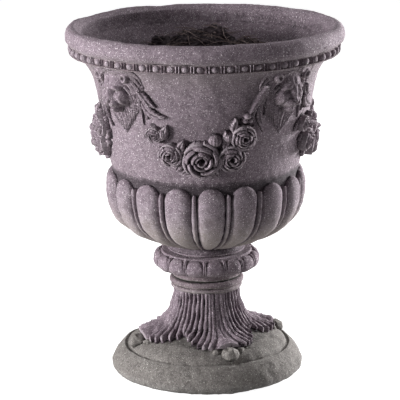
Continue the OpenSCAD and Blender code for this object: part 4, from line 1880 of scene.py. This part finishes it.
# Leaves of a garland: base, tip, half width, height, bow and height at the edge.
LEAVES = (
    ((-81, 449), (-60, 426), 6.5, 8.0, -7, 1.5), ((-78, 434), (-46.5, 413.5), 7.0, 9.0, -17, 2.0),
    ((-54, 380), (-46, 401), 6.5, 12.0, 2, 4.0), ((-32, 356), (-25, 380), 7.0, 12.0, 3, 4.0),
    ((-24, 360), (-9, 379), 4.5, 10.0, -2, 4.0), ((-30, 346), (-39, 333), 6.5, 9.0, 0, 2.0),
    ((-16, 338), (-30, 329), 5.5, 7.0, 0, 1.0), ((12, 338), (24, 325), 6.5, 9.0, 2, 2.0),
    ((34, 344), (47, 332), 5.5, 8.0, -2, 2.0), ((52, 352), (68, 357), 6.0, 9.0, 3, 2.0),
    ((60, 366), (76, 379), 6.5, 10.0, -3, 2.0), ((66, 388), (73, 398), 5.0, 8.0, 0, 2.0),
    ((42, 392), (45, 411), 5.5, 11.0, 0, 3.0), ((30, 368), (32, 393), 6.0, 12.0, -3, 4.0),
    ((-76, 392), (-84, 378), 4.0, 6.0, 0, 1.0), ((-56, 366), (-66, 360), 4.5, 7.0, 0, 1.0))
# Strands at a garland's ends: control points, half width and height.
STRANDS = (
    (((-82, 452), (-78, 440), (-74, 424), (-75, 407)), 3.4, 6.0),
    (((-84, 450), (-84, 436), (-84, 416), (-82, 398)), 3.6, 6.0),
    (((-80, 446), (-72, 434), (-66, 424), (-66, 411)), 3.0, 7.0),
    (((-80, 448), (-74, 436), (-68, 420), (-56, 409)), 2.0, 9.5),
    (((84, 456), (80, 440), (70, 424), (62, 413)), 6.0, 9.0),
    (((86, 450), (84, 440), (79, 428), (74, 417)), 4.2, 8.0),
    (((86, 446), (88, 434), (90, 424), (87, 412)), 3.6, 8.0),
    (((82, 440), (78, 428), (78, 414), (84, 400)), 3.6, 7.0),
    (((78, 432), (74, 420), (76, 404), (88, 387)), 3.8, 6.5),
    (((74, 426), (68, 414), (66, 404), (68, 394)), 3.2, 6.0))
# Buds and berries of a garland: middle, half axes or radius, and the height of a bud.
BUDS = (((18, 380), (9.5, 8.5), 15.0), ((36, 384), (6.5, 7.5), 13.5), ((-52, 388), (6.5, 8.5), 12.0))
BERRIES = (((61, 413), 5.2), ((57.5, 407), 4.4), ((64.5, 406.5), 3.6))


@dataclass
class GarlandSizes:
    """Sizes of garlands and roses, in millimetres and degrees.

    Places are x along the wall and z. The rope has a size at each place, a rose its size and its height.
    """

    count: int = 4
    unit: float = 150.0
    step: float = 0.8
    rose_step: float = 0.55
    flank_rate: float = 0.48
    flank_painted_shade: float = 1.5
    rope: Steps = ((-68, 398, 4), (-60, 379, 6), (-47, 361, 7.5), (-30, 352, 8.5), (-10, 347, 9),
                   (12, 347, 9), (33, 352, 9), (46, 364, 8), (57, 380, 7), (64, 396, 4))
    roses: Steps = ((-65, 386.5, 10.5, 7.5), (-43.5, 358.5, 15.5, 8), (0, 353, 24, 8), (40.5, 354, 17.5, 8.5),
                    (56, 383.5, 16, 8.5))


class Garlands(WallSection):
    """Four garlands of leaves, strands and roses between the masks."""

    sizes = GarlandSizes()

    def build(self) -> None:
        """Builds garlands and roses."""
        k = self.sizes
        leaves = self.carve()
        roses = [self.rose(index) for index in range(len(k.roses))]
        for number in range(1, k.count + 1):
            place = self.wall.layer(360 / k.count * (number - 1), 0, k.unit)
            green, bloom = Shape(), Shape()
            green.add(*leaves.shell(place))
            for rose in roses:
                bloom.add(*rose.shell(place, 2.5, 0.5))
            for name, shape, node in (("leaf_garland", green, "garland"), ("rose_group", bloom, "roses")):
                piece = f"{name}_{number}"
                self.settle(piece, make_mesh(piece, shape, (CAST[2],)), self.finishes.bell,
                            [f"{node}_{number}"], 5, self.over_low)

    def over_low(self, points: Array) -> Array:
        """How far points stand out from the wall, counted so that painted shade on the flanks reaches further
        up.
        """
        return self.sizes.flank_rate * self.wall.over(points) - self.sizes.flank_painted_shade

    def carve(self) -> Relief:
        """Carves rope, leaves, buds, strands and berries.

        Returns:
            The garland's relief.
        """
        k = self.sizes
        relief = Relief((-92, 322), (94, 456), k.step)
        for x, z, size in k.rope:
            relief.dome((x, z), (size * 1.4, size * 1.1), size * 0.55, 0, 0.0, 2.0)
        for base, tip, width, top, bend, low in LEAVES:
            relief.leaf(base, tip, width, top, bend, 5, low)
        for middle, size, top in BUDS:
            self.bud(relief, middle, size, top)
        for points, width, top in STRANDS:
            relief.lock(points, width, top, 2, 0.4, 0.5, 0.25)
        for middle, size in BERRIES:
            relief.dome(middle, (size, size * 0.85), 10.5, 0, 2.0, 0.6)
        return relief

    @staticmethod
    def bud(relief: Relief, middle: Sequence[float], size: Sequence[float], top: float) -> None:
        """Carves a closed bud with seams between its petals.

        Args:
            relief: The garland's relief.
            middle: Middle of the bud.
            size: Its half axes.
            top: Its height.
        """
        relief.dome(middle, size, top, 0, 4.0, 0.5)
        u, v = relief.local(middle, 0)
        inside = (u / size[0]) ** 2 + (v / size[1]) ** 2 < 0.97
        bow = u / size[0] / np.sqrt(np.clip(1 - (v / size[1]) ** 2, 0.05, 1))
        seams = np.exp(-((np.abs((bow * 2.2 + 4.5) % 1 - 0.5)) / 0.11) ** 2)
        relief.h -= 1.5 * seams * inside

    def rose(self, index: int) -> Relief:
        """Carves a rose with rings of overlapping petals round a hollow heart.

        Args:
            index: Which rose of a garland.

        Returns:
            Its relief.
        """
        k = self.sizes
        x, z, size, stand = k.roses[index]
        rng = np.random.default_rng(70 + index)
        reach = size * 1.12
        relief = Relief((x - reach, z - reach), (x + reach, z + reach), k.rose_step)
        dx, dz = relief.x - x, relief.z - z
        turn = np.arctan2(dz, dx) / (2 * math.pi)
        far = np.hypot(dx, dz) / size
        rings = ((5, 0.95, 0.36, 0.05, 0.6), (5, 0.72, 0.54, 0.05, 1.5), (4, 0.49, 0.62, 0.05, 1.9),
                 (3, 0.27, 0.60, 0.05, 2.2))
        if size > 20:
            rings = ((5, 0.96, 0.34, 0.045, 0.5), (5, 0.76, 0.53, 0.04, 1.2), (4, 0.46, 0.58, 0.045, 1.9),
                     (3, 0.27, 0.50, 0.05, 2.2))
        body = stand + size * 0.16 * np.sqrt(np.clip(1 - far ** 2, 0, 1))
        heart = 0.30 * size * np.exp(-(far / 0.2) ** 2)
        relief.h = np.where(far < 1.0, body - heart, -6.0)
        for petals, place, rise, thick, slope in rings:
            number = (turn * petals + rng.uniform()) % petals
            share = number % 1
            lean = rng.uniform(-0.025, 0.025, petals)[number.astype(int) % petals]
            lift = rng.uniform(-0.05, 0.05, petals)[number.astype(int) % petals]
            rim = place * (1 + 0.17 * (share - 0.5)) + lean
            edge = 1 - 0.25 * np.abs(2 * share - 1) ** 3
            crest = stand + size * (rise + lift) * edge
            outside, inside = far - rim, rim - far
            fall = np.where(
                outside > 0,
                size * (slope * np.maximum(outside, 0) ** 1.1 + 9 * np.clip(outside - 0.13, 0, 1)),
                size * (0.5 * np.clip(inside, 0, 1) + 8 * np.clip(inside - thick, 0, 1)))
            petal = crest - fall
            relief.h = np.where((petal > relief.h) & (far < 1.1) & (petal > stand * 0.4), petal, relief.h)
        return relief


@dataclass
class SoilSizes:
    """Sizes of the soil, in millimetres. Humps are given as x, y, reach and height."""

    gap: float = 0.8
    wall_slant: float = 26.0
    mound_r: float = 112.0
    mound_h: float = 56.0
    mound_x: float = 6.0
    mound_y: float = 16.0
    lump_h: float = 4.0
    humps: Steps = ((16, 50, 20, 17), (-32, 50, 32, 17), (-78, 44, 18, 25), (72, 50, 24, 13))
    crumbs: int = 1700
    straws: int = 260
    straw_reach: float = 108.0
    seed: int = 12


class Soil(Section):
    """Soil with a root ball, crumbs and dry roots."""

    sizes = SoilSizes()

    def build(self) -> None:
        """Builds mound, crumbs and roots."""
        s, k = self.stages, self.sizes
        r, mid_z = s.soil_r - k.gap, s.soil_z - k.mound_h + k.lump_h
        shape = Shape()
        shape.turn(self.profile(r, mid_z), 200)
        mesh = make_mesh("soil_mound", shape, ())
        points = surface(mesh)[0] / MM
        points[:, 2] += self.heap(points, r) * (points[:, 2] > mid_z - 1)
        mesh.vertices.foreach_set("co", (points * MM).ravel())
        mesh.update()
        self.settle("soil_mound", mesh, self.finishes.soil, ["potting_soil"], slot=Slot.SOIL)
        scatter = ScatterOnTop()
        for name, shape, count, seed, reach, largest, material in (
                ("soil_crumbs", self.crumb(), k.crumbs, k.seed, r - 8, 1.6, self.finishes.soil),
                ("dry_roots", self.straw(), k.straws, k.seed + 1, k.straw_reach, 1.2, self.finishes.straw)):
            made = scatter.run(name, mesh.copy(), {
                "Count": count, "Seed": seed, "Material": material, "Unit": self.unit(name + "_unit", shape),
                "Top": (mid_z - 2) * MM, "Reach": reach * MM, "Smallest": 0.5, "Largest": largest})
            self.settle(name, made, material, hollows=0, slot=Slot.SOIL)

    def profile(self, r: float, mid_z: float) -> Array:
        """Makes the outline of the soil before it is heaped up.

        Args:
            r: Its radius.
            mid_z: Height of its flat top.

        Returns:
            The points (r, z), one a row.
        """
        bottom, wall_low = self.stages.soil_low_z, r - self.sizes.wall_slant
        return np.concatenate([
            curve([(24, bottom), (wall_low - 25, bottom + 22), (wall_low - 1, bottom + 45),
                   (wall_low, self.stages.bell_z)], 16),
            line((wall_low + 0.3, self.stages.bell_z + 2), (r, mid_z), 14),
            np.stack([np.linspace(r, 0.5, 90), np.full(90, mid_z)], -1),
            line((0.5, mid_z - 20), (0.5, bottom + 14), 6), line((0.5, bottom + 14), (23, bottom + 12), 4)])

    def heap(self, points: Array, r: float) -> Array:
        """Works out how high the soil is heaped.

        Args:
            points: Points, one a row.
            r: The soil's radius.

        Returns:
            The height over the flat top at each point.
        """
        k = self.sizes
        x, y = points[:, 0], points[:, 1]
        lumps = k.lump_h * (
            np.sin(np.radians(6.2 * (x + 0.4 * y) + 30)) * np.cos(np.radians(5.4 * (y - 0.35 * x)))
            + 0.4 * np.sin(np.radians(11 * (x - 0.8 * y) + 100)))
        crust = Unevenness(17, 1.2, 52).at(points) + Unevenness(7, 0.9, 53).at(points)
        ball = (k.mound_r ** 2 + k.mound_h ** 2) / (2 * k.mound_h)
        off = np.hypot(x - k.mound_x, y - k.mound_y)
        cap = k.mound_h - ball + np.sqrt(np.maximum(ball ** 2 - off ** 2, 0))
        for hump_x, hump_y, hump_r, hump_h in k.humps:
            cap += hump_h * np.exp(-((x - hump_x) ** 2 + (y - hump_y) ** 2) / hump_r ** 2)
        heap = np.maximum(cap - 1.5 * k.lump_h + lumps, 0) + crust - 1
        return heap * ease((r - np.hypot(x, y)) / 14)

    @staticmethod
    def unit(name: str, shape: Shape) -> bpy.types.Object:
        """An object, not shown, that is scattered."""
        return bpy.data.objects.new(name, make_mesh(name, shape, ()))

    @staticmethod
    def crumb() -> Shape:
        """Makes a rounded crumb.

        Returns:
            The crumb.
        """
        shape = Shape()
        shape.ball((0, 0, 0.6), np.diag((2.3, 1.8, 1.5)), 5, 7)
        return shape

    @staticmethod
    def straw() -> Shape:
        """Makes a bent, thin root.

        Returns:
            The root.
        """
        path = curve([(-20, -2, 1.0), (-8, 5, 6.0), (8, -5, 6.0), (21, 3, 0.5)], 9)
        around = np.linspace(0, 2 * math.pi, 5, endpoint=False)
        ring = np.stack([0 * around, np.cos(around), np.sin(around)], -1)
        size = np.array([0.35, 0.55, 0.62, 0.66, 0.66, 0.62, 0.55, 0.45, 0.3])
        shape = Shape()
        shape.sweep(path[:, None, :] + ring[None, :, :] * size[:, None, None])
        return shape


class ScatterOnTop(NodeTool):
    """Scatters a shape over the upper faces of a mesh, of so many square metres."""

    TOP_AREA = 0.055

    def __init__(self) -> None:
        """Builds the tree."""
        super().__init__("scatter_on_top", [
            ("Count", "Int"), ("Seed", "Int"), ("Unit", "Object"), ("Top", "Float"), ("Reach", "Float"),
            ("Smallest", "Float"), ("Largest", "Float"), ("Material", "Material")])
        g, i = self.graph, self.inputs
        spot = g.node("ShaderNodeSeparateXYZ", {"Vector": g.node("GeometryNodeInputPosition")["Position"]})
        slope = g.node("ShaderNodeSeparateXYZ", {"Vector": g.node("GeometryNodeInputNormal")["Normal"]})
        far = g.maths("SQRT", spot["X"] * spot["X"] + spot["Y"] * spot["Y"])
        usable = spot["Z"].over(i["Top"]) * slope["Z"].over(0.25) * (i["Reach"] - far).over(0.0)
        faces = g.node("GeometryNodeSeparateGeometry", {"Geometry": i["Geometry"], "Selection": usable},
                       domain="FACE")["Selection"]
        density = i["Count"] / self.TOP_AREA
        points = g.node("GeometryNodeDistributePointsOnFaces", {
            "Mesh": faces, "Density": density, "Seed": i["Seed"]})
        unit = g.node("GeometryNodeObjectInfo", {"Object": i["Unit"]})["Geometry"]
        turn = g.node("FunctionNodeRandomValue", {
            "Min": (-0.4, -0.4, 0.0), "Max": (0.4, 0.4, 6.28), "Seed": i["Seed"]},
            data_type="FLOAT_VECTOR")["Value"]
        way = g.node("FunctionNodeEulerToRotation", {"Euler": turn})["Rotation"]
        size = g.node("FunctionNodeRandomValue", {
            "Min_001": i["Smallest"], "Max_001": i["Largest"], "Seed": i["Seed"] + 7},
            data_type="FLOAT")["Value_001"]
        copies = g.node("GeometryNodeInstanceOnPoints", {
            "Points": points["Points"], "Instance": unit, "Rotation": way, "Scale": size})["Instances"]
        self.close(copies)


@dataclass(frozen=True)
class Lamp:
    """A soft square lamp that points at the urn.

    Attributes:
        name: Its name.
        azimuth: Where it stands, in degrees from the front towards +X.
        elevation: Its height over the horizon in degrees.
        size: Length of its side in metres.
        power: Its power in watts.
    """

    name: str
    azimuth: float
    elevation: float
    size: float
    power: float

    def hang(self, distance: float, aim_z: float) -> None:
        """Adds the lamp to the scene.

        Args:
            distance: Its distance from the urn in metres.
            aim_z: Height that it points at.
        """
        data = bpy.data.lights.new(self.name, "AREA")
        data.size = self.size
        data.energy = self.power
        lamp = make_object(self.name, data)
        a, e = math.radians(self.azimuth), math.radians(self.elevation)
        way = Vector((math.sin(a) * math.cos(e), -math.cos(a) * math.cos(e), math.sin(e)))
        lamp.location = Vector((0, 0, aim_z)) + way * distance
        lamp.rotation_mode = "QUATERNION"
        lamp.rotation_quaternion = way.to_track_quat("Z", "Y")


LAMPS = (
    Lamp("key_left", -58, 9, 0.35, 38),
    Lamp("side_left", -76, 8, 0.35, 44),
    Lamp("side_right", 98, 8, 0.35, 13),
    Lamp("back_right", 126, 6, 0.4, 98),
    Lamp("over_front", -20, 72, 0.5, 10),
    Lamp("over_back", 150, 45, 0.5, 10))


@dataclass
class Studio:
    """Camera, lamps and floor, in metres and degrees."""

    distance: float = 2.9
    height: float = 0.9908
    pitch: float = 14.22
    azimuth: float = 2.0
    roll: float = -0.55
    side_step: float = -0.0086
    focal_px: float = 2032.0
    frame_px: float = 400.0
    sensor: float = 36.0
    lamp_far: float = 2.2
    lamp_aim: float = 0.3
    sky: float = 0.03
    floor_half: float = 6.0
    floor_grey: float = 0.42
    floor_glow: float = 0.97

    def build(self) -> None:
        """Builds everything round the urn."""
        self.camera()
        self.lamps()
        self.floor()

    def camera(self) -> None:
        """Camera at the photograph's viewing angle."""
        data = bpy.data.cameras.new("photo_camera")
        data.sensor_width = self.sensor
        data.lens = self.focal_px * self.sensor / self.frame_px
        data.clip_end = 50
        camera = make_object("photo_camera", data)
        turn = Matrix.Rotation(math.radians(self.azimuth), 4, "Z")
        tilt = Matrix.Rotation(math.radians(90 - self.pitch), 4, "X")
        lean = Matrix.Rotation(math.radians(self.roll), 4, "Z")
        place = Matrix.Translation((self.side_step, -self.distance, self.height))
        camera.matrix_world = turn @ place @ tilt @ lean
        bpy.context.scene.camera = camera

    @staticmethod
    def background_rays(g: Graph) -> Wire:
        """1 for rays that see the white background, or else 0."""
        path = g.node("ShaderNodeLightPath")
        return path["Is Camera Ray"].most(path["Is Glossy Ray"]).most(path["Is Transmission Ray"])

    def lamps(self) -> None:
        """Lamps on the left, behind and overhead, and a dim sky."""
        for lamp in LAMPS:
            lamp.hang(self.lamp_far, self.lamp_aim)
        world = bpy.data.worlds.new("studio")
        bpy.context.scene.world = world
        g = Graph.of(world)
        seen = self.background_rays(g)
        white = (1, 1, 1, 1)
        sky = g.node("ShaderNodeBackground", {"Color": white, "Strength": self.sky})["Background"]
        bright = g.node("ShaderNodeBackground", {"Color": white, "Strength": 1.0})["Background"]
        both = g.node("ShaderNodeMixShader", {"Fac": seen, "Shader": sky, "Shader_001": bright})
        g.node("ShaderNodeOutputWorld", {"Surface": both["Shader"]})

    def floor(self) -> None:
        """A pale floor that fades to white and keeps the urn's shadow."""
        mesh = bpy.data.meshes.new("studio_floor")
        reach, grey = self.floor_half, self.floor_grey
        mesh.from_pydata([(-reach, -reach, 0), (reach, -reach, 0), (reach, reach, 0), (-reach, reach, 0)],
                         [], [(0, 1, 2, 3)])
        material = bpy.data.materials.new("studio_floor")
        g = Graph.of(material)
        seen = self.background_rays(g)
        matt = g.node("ShaderNodeBsdfDiffuse", {"Color": (grey, grey, grey, 1)})["BSDF"]
        glow = g.node("ShaderNodeEmission", {"Color": (1, 1, 1, 1), "Strength": self.floor_glow})["Emission"]
        lit = g.node("ShaderNodeAddShader", {"Shader": matt, "Shader_001": glow})["Shader"]
        both = g.node("ShaderNodeMixShader", {"Fac": seen, "Shader": matt, "Shader_001": lit})
        g.node("ShaderNodeOutputMaterial", {"Surface": both["Shader"]})
        dress(mesh, material)
        make_object("studio_floor", mesh)


def main() -> None:
    """Builds the urn and its studio."""
    logging.basicConfig(level=logging.INFO, format="%(name)s: %(message)s")
    bpy.context.scene.view_settings.view_transform = "Standard"
    stages = Stages()
    wall = BellWall(stages)
    finishes = Finishes()
    Studio().build()
    Pedestal(stages, finishes).build()
    StemLeaves(stages, finishes).build()
    Neck(stages, finishes).build()
    LobedBowl(stages, finishes).build()
    Bell(stages, finishes, wall).build()
    LionMasks(stages, finishes, wall).build()
    Garlands(stages, finishes, wall).build()
    Soil(stages, finishes).build()
    for name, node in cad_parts.items():
        if name != "bedding_ring":
            dress(node.data, finishes.bell)


if __name__ == "__main__":
    main()
